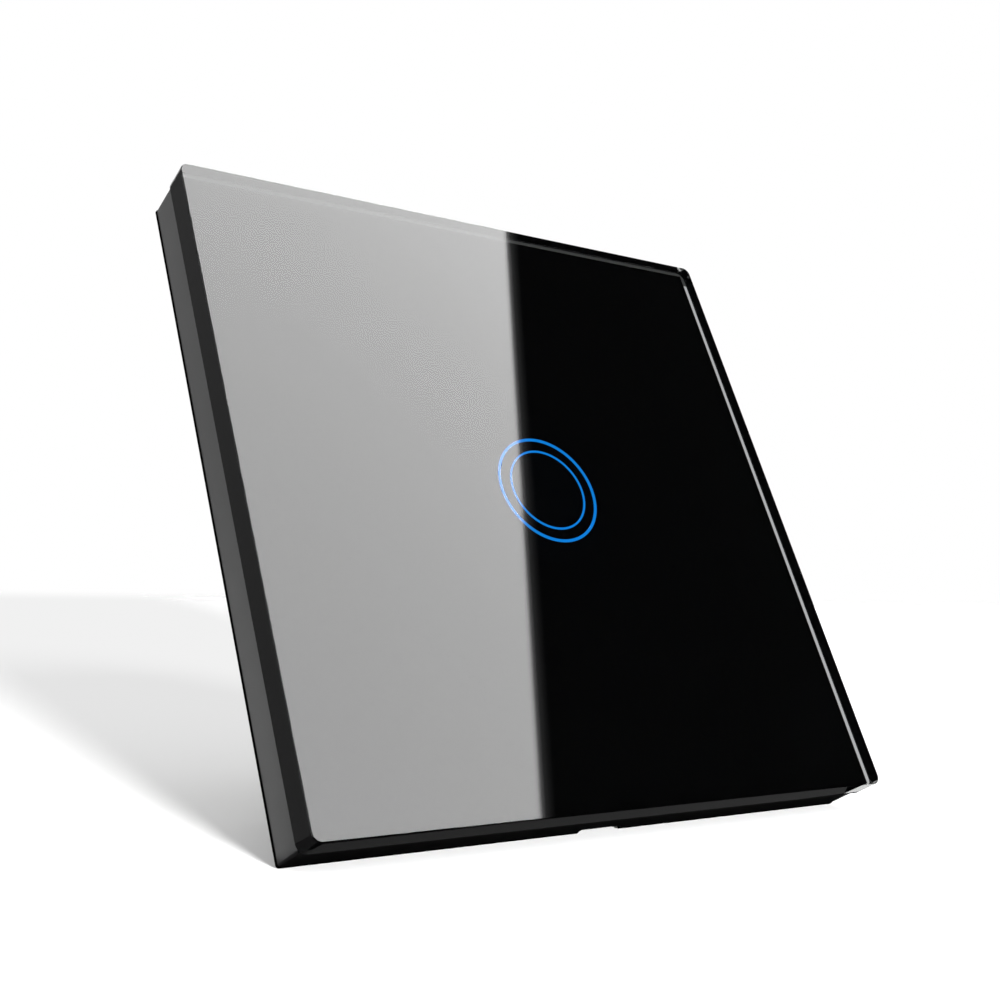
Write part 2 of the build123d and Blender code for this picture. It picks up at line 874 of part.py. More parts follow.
def relay_bobbin():
    """Plastic spool that holds the coil."""
    hole = relay_core_radius + thread_clearance
    sleeve = hole + relay_flange
    spool = disc(sleeve, relay_bobbin_front, relay_bobbin_back, relay_coil_x, relay_z)
    outer = relay_bobbin_diameter / 2
    front_flange = relay_bobbin_front + relay_flange
    back_flange = relay_bobbin_back - relay_flange
    spool += disc(outer, relay_bobbin_front, front_flange, relay_coil_x, relay_z)
    spool += disc(outer, back_flange, relay_bobbin_back, relay_coil_x, relay_z)
    return spool - disc(hole, relay_bobbin_front, relay_bobbin_back, relay_coil_x, relay_z)


def relay_coil():
    """Copper winding on the spool."""
    inner = relay_core_radius + relay_flange + 2 * thread_clearance
    front = relay_bobbin_front + relay_flange
    back = relay_bobbin_back - relay_flange
    return ring(relay_coil_diameter / 2, inner, front, back, relay_coil_x, relay_z)


def relay_armature():
    """Iron flap that tips on the edge of the yoke when the coil pulls it."""
    right = relay_coil_x + relay_core_radius + relay_coil_gap
    length = right - relay_left
    x = relay_left + length / 2
    return plate(length, relay_iron_width, relay_armature_front, relay_armature_back, x, relay_z)


def relay_contact_leaf():
    """Springy strip riveted to the armature, which carries the moving contact."""
    left = relay_pivot_x + relay_iron
    right = relay_contact_x + relay_contact_radius + relay_strip
    length = right - left
    back = relay_armature_back + relay_leaf_thickness
    x = left + length / 2
    return plate(length, relay_leaf_width, relay_armature_back, back, x, relay_z)


def relay_moving_contact():
    """Silver contact under the end of the leaf."""
    return disc(relay_contact_radius, relay_moving_front, relay_armature_back, relay_contact_x, relay_z)


def relay_fixed_contact():
    """Fixed silver contact on its bent strip."""
    foot_right = relay_right - relay_strip
    strip_left = relay_contact_x - relay_contact_radius
    length = foot_right - strip_left
    front = relay_strip_back - relay_strip
    strip_x = strip_left + length / 2
    strip = plate(length, relay_leaf_width, front, relay_strip_back, strip_x, relay_z)
    leg_x = foot_right - relay_strip / 2
    strip += plate(relay_strip, relay_leaf_width, relay_floor, relay_strip_back, leg_x, relay_z)
    return strip + disc(relay_contact_radius, relay_strip_back, relay_fixed_back, relay_contact_x, relay_z)


def terminal_port(x):
    """Wire hole in the bottom of the block, with a funnel at its mouth."""
    middle = terminal_bottom + port_wall / 2
    hole = Pos(x, port_y, middle) * Cylinder(port_radius, port_wall)
    funnel = Cone(port_radius + port_funnel, port_radius, port_funnel)
    return hole + Pos(x, port_y, terminal_bottom + port_funnel / 2) * funnel


def terminal_cell(x):
    """Room for one clamp, its screw head and its contact bar."""
    length = cell_top - cell_bottom
    middle_z = (cell_top + cell_bottom) / 2
    cell = plate(cell_width, length, cell_front, cell_back, x, middle_z)
    head_hole = terminal_head_radius + terminal_head_gap
    cell += disc(head_hole, cell_back, housing_depth - terminal_lip, x, clamp_middle_z)
    cell += disc(terminal_lip_radius, head_front, housing_depth, x, clamp_middle_z)
    return cell + disc(bar_pin_radius + pin_clearance, power_board_back, cell_front, x, bar_pin_z)


def terminal_block():
    """Moulded block with one cell for each wire, which comes in from below."""
    height = terminal_top - terminal_bottom
    middle = (terminal_top + terminal_bottom) / 2
    block = plate(terminal_width, height, power_board_back, housing_depth, 0, middle)
    for x in terminal_x:
        block -= terminal_cell(x)
        block -= terminal_port(x)
    return block


def contact_bars():
    """Brass bars, each bent towards the board and ending in a pin."""
    bars = []
    for x in terminal_x:
        width = clamp_width - 2 * (clamp_side + bar_side_gap)
        length = bar_leg_top - clamp_bottom
        bar = plate(width, length, bar_front, bar_back, x, clamp_bottom + length / 2)
        bar += plate(width, bar_leg, cell_front, bar_back, x, bar_pin_z)
        pin_front = power_board_front - bar_pin_tail
        bars.append(bar + disc(bar_pin_radius, pin_front, cell_front, x, bar_pin_z))
    return Compound(children=bars)


def terminal_clamp(x):
    """Box clamp that rises on its screw and traps the wire against the contact bar."""
    back = clamp_front + clamp_height
    clamp = plate(clamp_width, clamp_length, clamp_front, back, x, clamp_middle_z)
    inner_front = clamp_front + clamp_floor
    inner_back = back - clamp_nut
    clamp -= plate(clamp_width - 2 * clamp_side, clamp_length, inner_front, inner_back, x, clamp_middle_z)
    hole = terminal_screw_radius + terminal_screw_fit
    return clamp - disc(hole, inner_back, back, x, clamp_middle_z)


def terminal_screw(x):
    """Captive screw whose tip bears on the contact bar."""
    return headed_screw(
        terminal_screw_radius,
        bar_back + terminal_screw_fit,
        head_front,
        terminal_head_radius,
        terminal_head_height,
        x,
        clamp_middle_z,
    )


def rear_housing():
    """Box behind the yoke, with screw tubes, ribs for the board and a gap for the terminals."""
    box = rounded_plate(housing_width, housing_height, housing_corner_radius, 0, housing_depth)
    box = chamfer(back_face(box).edges(), housing_edge_chamfer)
    box -= plate(inner_width, inner_height, 0, housing_floor)
    for x, z in corner_screws:
        box += disc(screw_tube_diameter / 2, boss_end, housing_floor, x, z)
    rib_x = inner_width / 2 - board_rib_thickness / 2
    for side in (-1, 1):
        box += plate(board_rib_thickness, board_rib_height, power_board_back, housing_floor, side * rib_x)
    for x, z in corner_screws:
        box -= disc(housing_screw_diameter / 2 + screw_clearance / 2, boss_end, screw_seat, x, z)
        box -= disc(housing_screw_head_diameter / 2 + screw_clearance, screw_seat, housing_depth, x, z)
    gap_width = terminal_width + 2 * terminal_fit
    gap_height = terminal_top + terminal_fit - terminal_bottom
    gap_z = terminal_bottom + gap_height / 2
    return box - plate(gap_width, gap_height, power_board_back, housing_depth, 0, gap_z)


def housing_screws():
    """Four screws driven from the back into the bosses of the cover."""
    return Compound(children=[
        headed_screw(
            housing_screw_diameter / 2,
            cover_front + cover_skin + screw_tip_gap,
            screw_seat,
            housing_screw_head_diameter / 2,
            housing_screw_head_height,
            x,
            z,
        )
        for x, z in corner_screws
    ])


pieces = {
    "glass_panel": glass_panel,
    "inner_touch_ring": inner_touch_ring,
    "outer_touch_ring": outer_touch_ring,
    "back_print": back_print,
    "smoked_window": smoked_window,
    "panel_tape": panel_tape,
    "front_frame": front_frame,
    "yoke_plate": yoke_plate,
    "base_cover": base_cover,
    "light_guide": light_guide,
    "light_seal": light_seal,
    "touch_foam": touch_foam,
    "ring_lights": ring_lights,
    "touch_board": touch_board,
    "touch_board_screws": touch_board_screws,
    "radio_board": radio_board,
    "radio_shield": radio_shield,
    "touch_chip": touch_chip,
    "header_socket": header_socket,
    "header_strip": header_strip,
    "header_pins": header_pins,
    "power_board": power_board,
    "rectifier": rectifier,
    "power_chip": power_chip,
    "bulk_capacitors": bulk_capacitors,
    "surge_varistor": surge_varistor,
    "fuse": fuse,
    "filter_choke": filter_choke,
    "transformer_core": transformer_core,
    "transformer_winding": transformer_winding,
    "relay_case": relay_case,
    "relay_base": relay_base,
    "relay_pins": relay_pins,
    "relay_yoke": relay_yoke,
    "relay_core": relay_core,
    "relay_bobbin": relay_bobbin,
    "relay_coil": relay_coil,
    "relay_fixed_contact": relay_fixed_contact,
    "relay_armature": relay_armature,
    "relay_contact_leaf": relay_contact_leaf,
    "relay_moving_contact": relay_moving_contact,
    "terminal_block": terminal_block,
    "contact_bars": contact_bars,
    "rear_housing": rear_housing,
    "housing_screws": housing_screws,
}

os.makedirs("parts", exist_ok=True)
for name, make in pieces.items():
    export_step(make(), f"parts/{name}.step")
for name, x in zip(terminal_names, terminal_x):
    export_step(terminal_clamp(x), f"parts/terminal_clamp_{name}.step")
    export_step(terminal_screw(x), f"parts/terminal_screw_{name}.step")
print("wall plane to rear face", housing_depth, "mm, wire holes at", terminal_x, port_y)
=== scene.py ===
import json
import math

import bmesh
import bpy
from mathutils import Matrix, Vector

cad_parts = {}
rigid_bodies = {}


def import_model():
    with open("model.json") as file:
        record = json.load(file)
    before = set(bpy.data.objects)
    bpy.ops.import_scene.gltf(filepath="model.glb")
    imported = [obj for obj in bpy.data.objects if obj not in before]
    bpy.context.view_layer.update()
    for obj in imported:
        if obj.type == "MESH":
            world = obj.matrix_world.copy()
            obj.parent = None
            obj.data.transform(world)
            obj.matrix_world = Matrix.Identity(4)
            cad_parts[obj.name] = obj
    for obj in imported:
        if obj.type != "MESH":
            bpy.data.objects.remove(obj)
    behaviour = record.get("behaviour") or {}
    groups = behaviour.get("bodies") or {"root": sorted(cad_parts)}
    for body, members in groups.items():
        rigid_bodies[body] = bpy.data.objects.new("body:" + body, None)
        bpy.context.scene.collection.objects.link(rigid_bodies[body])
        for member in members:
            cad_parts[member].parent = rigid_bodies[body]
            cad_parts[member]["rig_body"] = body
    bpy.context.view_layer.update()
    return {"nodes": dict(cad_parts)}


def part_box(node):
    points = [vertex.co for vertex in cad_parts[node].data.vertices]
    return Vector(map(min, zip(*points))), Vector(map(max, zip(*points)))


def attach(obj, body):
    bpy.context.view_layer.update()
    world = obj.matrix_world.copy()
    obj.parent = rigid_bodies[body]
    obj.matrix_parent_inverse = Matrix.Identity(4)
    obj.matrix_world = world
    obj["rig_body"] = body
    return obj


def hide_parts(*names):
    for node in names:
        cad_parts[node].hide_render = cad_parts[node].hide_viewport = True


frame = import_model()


# Camera. The photograph was taken from below and to the left of the switch, close up, which
# is why the two side edges of the square plate run so far out of parallel. The view is set
# by where the camera stands, its right-hand direction and its downward direction.
camera_place = Vector((-0.10990, -0.12945, -0.07529))
camera_right = Vector((0.79602, -0.54870, -0.25552))
camera_down = Vector((0.05308, 0.48380, -0.87357))
camera_sideways_shift = -0.0287
lens_focal_length = 50.14
film_width = 36.0
nearest_view = 0.005
farthest_view = 100

lens = bpy.data.cameras.new("lens")
lens.lens = lens_focal_length
lens.sensor_width = film_width
lens.shift_x = camera_sideways_shift
lens.clip_start = nearest_view
lens.clip_end = farthest_view
camera = bpy.data.objects.new("camera", lens)
camera_up = -camera_down
camera_back = camera_right.cross(camera_up)
turn = Matrix((camera_right, camera_up, camera_back)).transposed()
camera.matrix_world = Matrix.Translation(camera_place) @ turn.to_4x4()
scene = bpy.context.scene
scene.collection.objects.link(camera)
scene.camera = camera
scene.view_settings.view_transform = "Standard"


# Studio. A white room with a white floor, on which the switch stands on its lower edge and
# leans back. The room is white to the eye and gives the object an even light. The floor is
# clear from below, so that it never hides the object, and fades into the room far off.
room_light = 1.0
room_white = 1.0
floor_lean = math.radians(26.4)
floor_reach = 30.0
floor_white = 0.78
floor_shade = 0.08
floor_fade_near = 3.0
floor_fade_far = 30.0


def new_node(tree, kind, settings=None, **inputs):
    """A shader node with its settings and the values of its named sockets."""
    made = tree.nodes.new(kind)
    for key, value in (settings or {}).items():
        setattr(made, key, value)
    for key, value in inputs.items():
        made.inputs[key.replace("_", " ")].default_value = value
    return made


def join(tree, source, target):
    """A link from one socket to another."""
    tree.links.new(source, target)


def calculate(tree, operation, first, second):
    """One sum of two values or sockets."""
    step = new_node(tree, "ShaderNodeMath", {"operation": operation})
    for place, value in enumerate((first, second)):
        if isinstance(value, (int, float)):
            step.inputs[place].default_value = value
        else:
            join(tree, value, step.inputs[place])
    return step.outputs[0]


def mapped(tree, value, low, high, new_low, new_high, way="LINEAR"):
    """A value moved from one range to another, and held at its ends."""
    step = new_node(
        tree, "ShaderNodeMapRange", {"interpolation_type": way},
        From_Min=low, From_Max=high, To_Min=new_low, To_Max=new_high)
    join(tree, value, step.inputs["Value"])
    return step.outputs[0]


def largest(tree, sockets):
    """The largest of several values."""
    result = sockets[0]
    for other in sockets[1:]:
        result = calculate(tree, "MAXIMUM", result, other)
    return result


def seen_rays(tree):
    """One for what the eye sees, straight, in a mirror or through glass, and nought for the rest."""
    path = new_node(tree, "ShaderNodeLightPath")
    return largest(tree, [path.outputs[f"Is {way} Ray"] for way in ("Camera", "Glossy", "Transmission")])


def shared(tree, share, first, second):
    """A shader that is a share between two others."""
    step = new_node(tree, "ShaderNodeMixShader")
    for socket, source in zip(step.inputs, (share, first, second)):
        join(tree, source, socket)
    return step.outputs[0]


def grey(level):
    """The colour of a plain grey."""
    return (level, level, level, 1)


room = bpy.data.worlds.new("room")
room.use_nodes = True
scene.world = room
tree = room.node_tree
tree.nodes.clear()
light = new_node(tree, "ShaderNodeBackground", Color=grey(1), Strength=room_light)
white = new_node(tree, "ShaderNodeBackground", Color=grey(1), Strength=room_white)
output = new_node(tree, "ShaderNodeOutputWorld")
join(tree, shared(tree, seen_rays(tree), light.outputs[0], white.outputs[0]), output.inputs["Surface"])


def stage_sheet(name, corners):
    """A flat stage piece through given corners."""
    mesh = bpy.data.meshes.new(name)
    mesh.from_pydata(corners, [], [tuple(range(len(corners)))])
    sheet = bpy.data.objects.new(name, mesh)
    scene.collection.objects.link(sheet)
    return sheet


def stage_card(name, centre, across, up, width, height):
    """A rectangular stage piece, given by its centre, its two directions and its size."""
    x, y = width / 2, height / 2
    card = stage_sheet(name, ((-x, -y, 0), (x, -y, 0), (x, y, 0), (-x, y, 0)))
    across = Vector(across).normalized()
    facing = across.cross(Vector(up)).normalized()
    upright = facing.cross(across)
    place = Matrix((across, upright, facing)).transposed().to_4x4()
    card.matrix_world = Matrix.Translation(Vector(centre)) @ place
    return card


floor_depth_axis = Vector((0, math.cos(floor_lean), math.sin(floor_lean)))
frame_low, frame_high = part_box("front_frame")
floor_point = Vector((0, frame_high.y, frame_low.z))
floor = stage_card("floor", floor_point, (1, 0, 0), floor_depth_axis, 2 * floor_reach, 2 * floor_reach)
paper = bpy.data.materials.new("studio_floor")
paper.use_nodes = True
tree = paper.node_tree
tree.nodes.clear()
pale = new_node(tree, "ShaderNodeBsdfDiffuse", Color=grey(floor_white))
dim = new_node(tree, "ShaderNodeBsdfDiffuse", Color=grey(floor_shade))
clear = new_node(tree, "ShaderNodeBsdfTransparent")
side = new_node(tree, "ShaderNodeNewGeometry")
where = new_node(tree, "ShaderNodeTexCoord")
far_off = new_node(tree, "ShaderNodeVectorMath", {"operation": "LENGTH"})
output = new_node(tree, "ShaderNodeOutputMaterial")
join(tree, where.outputs["Object"], far_off.inputs[0])
nearness = calculate(tree, "DIVIDE", 1.0, far_off.outputs["Value"])
fade = mapped(tree, nearness, 1 / floor_fade_far, 1 / floor_fade_near, 1, 0, "SMOOTHSTEP")
hidden = largest(tree, [side.outputs["Backfacing"], fade])
ground = shared(tree, seen_rays(tree), dim.outputs[0], pale.outputs[0])
join(tree, shared(tree, hidden, ground, clear.outputs[0]), output.inputs["Surface"])
floor.data.materials.append(paper)


# Lamps. A small low lamp in front throws the long shadow back over the floor, and a higher one
# lightens it. Both light the floor alone. The object has the even light of the room and a soft
# lamp high up on the left, which the floor in turn doesn't take.
shadow_edge_slope = 0.140
low_lamp_distance = 0.250
low_lamp_height = 0.035
low_lamp_radius = 0.026
low_lamp_strength = 1000.0
higher_lamp_height = math.radians(12)
higher_lamp_softness = math.radians(9)
higher_lamp_strength = 1.9
key_direction = Vector((0.45, 0.35, -0.82))
key_strength = 0.8
key_softness = math.radians(40)

floor_normal = Vector((0, -math.sin(floor_lean), math.cos(floor_lean)))
floor_only = bpy.data.collections.new("floor_only")
floor_only.objects.link(floor)
object_only = bpy.data.collections.new("object_only")
for node in frame["nodes"].values():
    object_only.objects.link(node)


def put_lamp(name, kind, strength, lit):
    """A lamp that lights one group of objects and is seen in nothing."""
    made = bpy.data.lights.new(name, kind)
    made.energy = strength
    lamp = bpy.data.objects.new(name, made)
    scene.collection.objects.link(lamp)
    lamp.light_linking.receiver_collection = lit
    lamp.visible_glossy = False
    lamp.visible_transmission = False
    return lamp


def aim(lamp, direction):
    """Turns a lamp so that its light travels in a direction."""
    lamp.rotation_euler = Vector(direction).to_track_quat("-Z", "Y").to_euler()


low_lamp = put_lamp("low_lamp", "POINT", 1.0, floor_only)
low_lamp.data.shadow_soft_size = low_lamp_radius
edge_run = low_lamp_distance + low_lamp_height * math.tan(floor_lean)
aside = Vector((frame_low.x - shadow_edge_slope * edge_run, 0, 0))
low_lamp.location = floor_point + aside - floor_depth_axis * low_lamp_distance
low_lamp.location += floor_normal * low_lamp_height
low_lamp.data.use_nodes = True
tree = low_lamp.data.node_tree
carry = new_node(tree, "ShaderNodeLightFalloff", Strength=low_lamp_strength)
path = new_node(tree, "ShaderNodeLightPath")
reach = calculate(tree, "MULTIPLY", carry.outputs["Constant"], path.outputs["Ray Length"])
join(tree, reach, tree.nodes["Emission"].inputs["Strength"])

higher_lamp = put_lamp("higher_lamp", "SUN", higher_lamp_strength, floor_only)
higher_lamp.data.angle = higher_lamp_softness
level_run = (Vector((shadow_edge_slope, 0, 0)) + floor_depth_axis).normalized()
aim(higher_lamp, level_run * math.cos(higher_lamp_height) - floor_normal * math.sin(higher_lamp_height))
key_lamp = put_lamp("key_lamp", "SUN", key_strength, object_only)
key_lamp.data.angle = key_softness
aim(key_lamp, key_direction)


# Cards. A tall soft box to the front right shows in the left half of the glass, and the black
# cloth beside it keeps the right half black. Smaller cards near the object set the tone of its
# edges. Mirror reflections alone see them, but two cloths are seen through the glass as well.
box_edge_point = Vector((0.2145, -0.3005, 0.042))
box_edge_lean = math.radians(14.16)
box_glow = 8.2
box_reach = 0.22
cloth_reach = 0.60
card_height = 0.90
card_rise = 0.10
box_edge_width = 0.0095
box_edge_fall = ((0.0, 1.0), (0.17, 0.78), (0.33, 0.18), (0.5, 0.042), (0.75, 0.012), (1.0, 0.0))
side_card_glow = 0.16
side_card_corners = (
    (-0.050, 0.0026, -0.043), (-0.050, 0.0100, -0.043), (-0.050, 0.0100, 0.060), (-0.050, 0.0026, 0.060))
edge_cloth_place = -0.0045
top_cloth_glow = 0.05
top_cloth_area = (
    (-0.0426, 0.0424), (0.0424, 0.0424), (0.0424, 0.0412), (0.0450, 0.0412), (0.0450, 0.0446),
    (-0.0426, 0.0446))
right_cloth_glow = 0.5
right_cloth_area = ((0.0424, -0.0430), (0.0450, -0.0430), (0.0450, 0.0412), (0.0424, 0.0412))
card_lift = 0.00002
black_cloth_glow = 0.0
black_cloth_area = (
    (-0.066, -0.15), (0.45, -0.15), (0.45, 0.35), (-0.03, 0.35), (-0.03, 0.05), (-0.0432, 0.05),
    (-0.0432, -0.0040), (-0.066, 0.0388))
grey_strip_glow = 0.065
grey_strip_area = (
    (-0.050, -0.0056), (-0.0427, -0.0056), (-0.0422, -0.0038), (0.0437, -0.0038), (0.0437, -0.00205),
    (-0.0424, -0.00205), (-0.0429, 0.0040), (-0.050, 0.0040))
white_sliver_glow = 1.3
white_sliver_area = ((0.0505, -0.0038), (0.0505, -0.00205), (0.0437, -0.00205))


def glossy_only(card):
    """Leaves a card visible to mirror reflections and to nothing else."""
    for way in ("camera", "diffuse", "transmission", "shadow", "volume_scatter"):
        setattr(card, "visible_" + way, False)


def glowing(name, strength):
    """A material that gives an even light, and its emission node."""
    made = bpy.data.materials.new(name)
    made.use_nodes = True
    made.node_tree.nodes.clear()
    glow = new_node(made.node_tree, "ShaderNodeEmission", Strength=strength)
    end = new_node(made.node_tree, "ShaderNodeOutputMaterial")
    join(made.node_tree, glow.outputs[0], end.inputs["Surface"])
    return made, glow


def corner_card(name, corners, strength):
    """A card through given corners, with an even glow."""
    card = stage_sheet(name, corners)
    card.data.materials.append(glowing(name + "_skin", strength)[0])
    glossy_only(card)
    return card


def on_floor(x, depth, lift):
    """A point just above the floor, from its x and y."""
    return (x, depth, floor_point.z + (depth - floor_point.y) * math.tan(floor_lean) + lift)


def along(tree, axis):
    """How far along one of the object's own axes a point lies."""
    where = new_node(tree, "ShaderNodeTexCoord")
    apart = new_node(tree, "ShaderNodeSeparateXYZ")
    join(tree, where.outputs["Object"], apart.inputs[0])
    return apart.outputs[axis]


lean = Vector((math.cos(box_edge_lean), 0, -math.sin(box_edge_lean)))
lean_up = Vector((math.sin(box_edge_lean), 0, math.cos(box_edge_lean)))
card_centre = box_edge_point + lean * (cloth_reach - box_reach) / 2 + lean_up * card_rise
soft_box = stage_card("soft_box", card_centre, lean, lean_up, box_reach + cloth_reach, card_height)
glossy_only(soft_box)
box_skin, glow = glowing("soft_box_skin", box_glow)
tree = box_skin.node_tree
edge_place = (box_reach - cloth_reach) / 2
across = mapped(tree, along(tree, "X"), edge_place, edge_place + box_edge_width, 0.0, 1.0)
fall = new_node(tree, "ShaderNodeValToRGB")
for place, _ in box_edge_fall[1:-1]:
    fall.color_ramp.elements.new(place)
for stop, (_, level) in zip(fall.color_ramp.elements, box_edge_fall):
    stop.color = grey(level)
join(tree, across, fall.inputs["Fac"])
join(tree, fall.outputs["Color"], glow.inputs["Color"])
soft_box.data.materials.append(box_skin)

corner_card("side_card", side_card_corners, side_card_glow)
for name, area, strength in (
    ("top_cloth", top_cloth_area, top_cloth_glow),
    ("right_cloth", right_cloth_area, right_cloth_glow),
):
    corner_card(name, [(x, edge_cloth_place, z) for x, z in area], strength).visible_transmission = True
for layer, (name, area, strength) in enumerate((
    ("black_cloth", black_cloth_area, black_cloth_glow),
    ("grey_strip", grey_strip_area, grey_strip_glow),
    ("white_sliver", white_sliver_area, white_sliver_glow),
), 1):
    corner_card(name, [on_floor(x, y, layer * card_lift) for x, y in area], strength)


# Glass panel. A square of clear toughened float glass with ground and polished edges: a hair
# line bevel in front and a wider one behind. It is printed black on its back, so it is bonded
# to the ink and shows no gap there. Finger marks change its gloss very slightly.
glass_front_bevel = 0.00012
glass_back_bevel = 0.00035
glass_corner_steps = 10
glass_corner_radius = 0.0012
glass_face_setback = 0.00001
ink_bond = 0.00002
glass_tint = (0.97, 0.99, 0.985)
smear_size = 45.0
smear_share = (0.45, 0.75)
smear_roughness = 0.0008


def place_piece(piece, *nodes):
    """Puts a finished piece on the body of its node, in that node's stead."""
    scene.collection.objects.link(piece)
    object_only.objects.link(piece)
    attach(piece, frame["nodes"][nodes[0]]["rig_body"])
    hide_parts(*nodes)
    return piece


def round_point(x, z, radius, angle):
    """The point at an angle on a circle, as x and z."""
    return x + radius * math.cos(angle), z + radius * math.sin(angle)


def rounded_loop(low, high, radius, steps, inset):
    """Points round a square with rounded corners, drawn in by an inset, as x and z."""
    points = []
    left, bottom = low.x + inset, low.z + inset
    right, top = high.x - inset, high.z - inset
    turn_radius = radius - inset
    for x, z, quarter in ((right, top, 0), (left, top, 1), (left, bottom, 2), (right, bottom, 3)):
        middle_x = x - turn_radius if quarter in (0, 3) else x + turn_radius
        middle_z = z - turn_radius if quarter in (0, 1) else z + turn_radius
        for step in range(steps + 1):
            angle = math.pi / 2 * (quarter + step / steps)
            points.append(round_point(middle_x, middle_z, turn_radius, angle))
    return points


def closed_piece(name, shell):
    """An object from a closed shell, with all its faces turned outwards."""
    bmesh.ops.recalc_face_normals(shell, faces=shell.faces)
    mesh = bpy.data.meshes.new(name)
    shell.to_mesh(mesh)
    shell.free()
    return bpy.data.objects.new(name, mesh)


def stacked(name, loops):
    """A closed solid through several loops of points, each at its own depth."""
    shell = bmesh.new()
    rings = [[shell.verts.new((x, depth, z)) for x, z in points] for points, depth in loops]
    count = len(rings[0])
    for lower, upper in zip(rings, rings[1:]):
        for place in range(count):
            after = (place + 1) % count
            shell.faces.new((lower[place], lower[after], upper[after], upper[place]))
    shell.faces.new(rings[0])
    shell.faces.new(rings[-1])
    return closed_piece(name, shell)


def shade_by_angle(piece, degrees=25):
    """Smooth shading over gentle bends and crisp shading over sharp ones."""
    for face in piece.data.polygons:
        face.use_smooth = True
    piece.data.set_sharp_from_angle(angle=math.radians(degrees))


glass_low, glass_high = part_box("glass_panel")
front = glass_low.y + glass_face_setback
back = glass_high.y + ink_bond
glass = stacked("glass_sheet", [
    (rounded_loop(glass_low, glass_high, glass_corner_radius, glass_corner_steps, inset), depth)
    for depth, inset in (
        (front, glass_front_bevel),
        (front + glass_front_bevel, 0.0),
        (back - glass_back_bevel, 0.0),
        (back, glass_back_bevel),
    )
])
shade_by_angle(glass)
place_piece(glass, "glass_panel")


def new_group(name, inputs, outputs):
    """A shader node group with named sockets, and its two end nodes."""
    made = bpy.data.node_groups.new(name, "ShaderNodeTree")
    for label, value in inputs:
        socket = made.interface.new_socket(name=label, in_out="INPUT", socket_type="NodeSocketFloat")
        socket.default_value = value
    for label in outputs:
        made.interface.new_socket(name=label, in_out="OUTPUT", socket_type="NodeSocketFloat")
    return made, made.nodes.new("NodeGroupInput"), made.nodes.new("NodeGroupOutput")


def texture(tree, kind, settings=None, **inputs):
    """A texture node that lies on the object's own coordinates."""
    made = new_node(tree, "ShaderNodeTex" + kind, settings, **inputs)
    where = new_node(tree, "ShaderNodeTexCoord")
    join(tree, where.outputs["Object"], made.inputs["Vector"])
    return made


handling, ins, outs = new_group("handling_marks", [("Size", 90.0), ("Amount", 1.0)], ["Smear"])
smear = texture(handling, "Noise", Detail=5.0, Roughness=0.6, Distortion=0.6)
join(handling, ins.outputs["Size"], smear.inputs["Scale"])
smears = mapped(handling, smear.outputs["Fac"], *smear_share, 0.0, 1.0)
join(handling, calculate(handling, "MULTIPLY", smears, ins.outputs["Amount"]), outs.inputs["Smear"])


def new_material(name, settings):
    """A material with its Principled shader, whose plain sockets are set at once."""
    made = bpy.data.materials.new(name)
    made.use_nodes = True
    skin = made.node_tree.nodes["Principled BSDF"]
    for label, value in settings.items():
        skin.inputs[label].default_value = (*value, 1) if isinstance(value, tuple) else value
    return made, made.node_tree, skin


def put_group(tree, group, **values):
    """One node of a group, with its own values."""
    made = tree.nodes.new("ShaderNodeGroup")
    made.node_tree = group
    for label, value in values.items():
        made.inputs[label].default_value = value
    return made


clear_glass, tree, skin = new_material("clear_glass", {
    "Base Color": glass_tint,
    "Roughness": 0.0,
    "IOR": 1.5,
    "Transmission Weight": 1.0,
})
marks = put_group(tree, handling, Size=smear_size, Amount=1.0)
join(tree, mapped(tree, marks.outputs["Smear"], 0.0, 1.0, 0.0, smear_roughness), skin.inputs["Roughness"])
glass.data.materials.append(clear_glass)


# Black print. Ceramic ink is screened over the whole back of the glass and fired on, so it is
# seen through the glass with no gap. A round window of smoked ink is left for the light guide.
# The glass goes into the ink by a hair, which stands for that bond.
window_steps = 96
ink_darker = (0.0022, 0.0022, 0.0024)
ink_lighter = (0.0034, 0.0034, 0.0036)
smoked_black = (0.0030, 0.0031, 0.0035)
smoked_roughness = (0.4, 0.5)
noise_low, noise_high = 0.3, 0.7
print_low, print_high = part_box("back_print")
print_front = print_low.y - ink_bond / 2
window_low, window_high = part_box("smoked_window")
window_radius = (window_high.x - window_low.x) / 2


def middle_of(low, high):
    """The middle of a box, as x and z."""
    return (low.x + high.x) / 2, (low.z + high.z) / 2


def circle_points(middle, radius, steps):
    """Points round a circle, as x and z."""
    return [round_point(*middle, radius, 2 * math.pi * step / steps) for step in range(steps)]


def square_points(low, high, steps):
    """Points round a square, in step with the points of a circle."""
    points = []
    middle_x, middle_z = middle_of(low, high)
    half_x, half_z = (high.x - low.x) / 2, (high.z - low.z) / 2
    for step in range(steps):
        angle = 2 * math.pi * step / steps
        x, z = math.cos(angle), math.sin(angle)
        stretch = 1 / max(abs(x), abs(z))
        points.append((middle_x + half_x * stretch * x, middle_z + half_z * stretch * z))
    return points


def washer(name, outer, inner, front, back):
    """A closed flat ring between two loops that have the same number of points."""
    shell = bmesh.new()
    rings = [
        [shell.verts.new((x, depth, z)) for x, z in points]
        for points, depth in ((outer, front), (inner, front), (inner, back), (outer, back))
    ]
    count = len(outer)
    for first, second in zip(rings, rings[1:] + rings[:1]):
        for step in range(count):
            after = (step + 1) % count
            shell.faces.new((first[step], first[after], second[after], second[step]))
    return closed_piece(name, shell)


def tinted(tree, share, first, second):
    """A colour that is a share between two others, each a plain colour or a socket."""
    step = new_node(tree, "ShaderNodeMix", {"data_type": "RGBA"})
    join(tree, share, step.inputs["Factor"])
    for label, colour in (("A", first), ("B", second)):
        if isinstance(colour, tuple):
            step.inputs[label].default_value = (*colour, 1)
        else:
            join(tree, colour, step.inputs[label])
    return step.outputs["Result"]


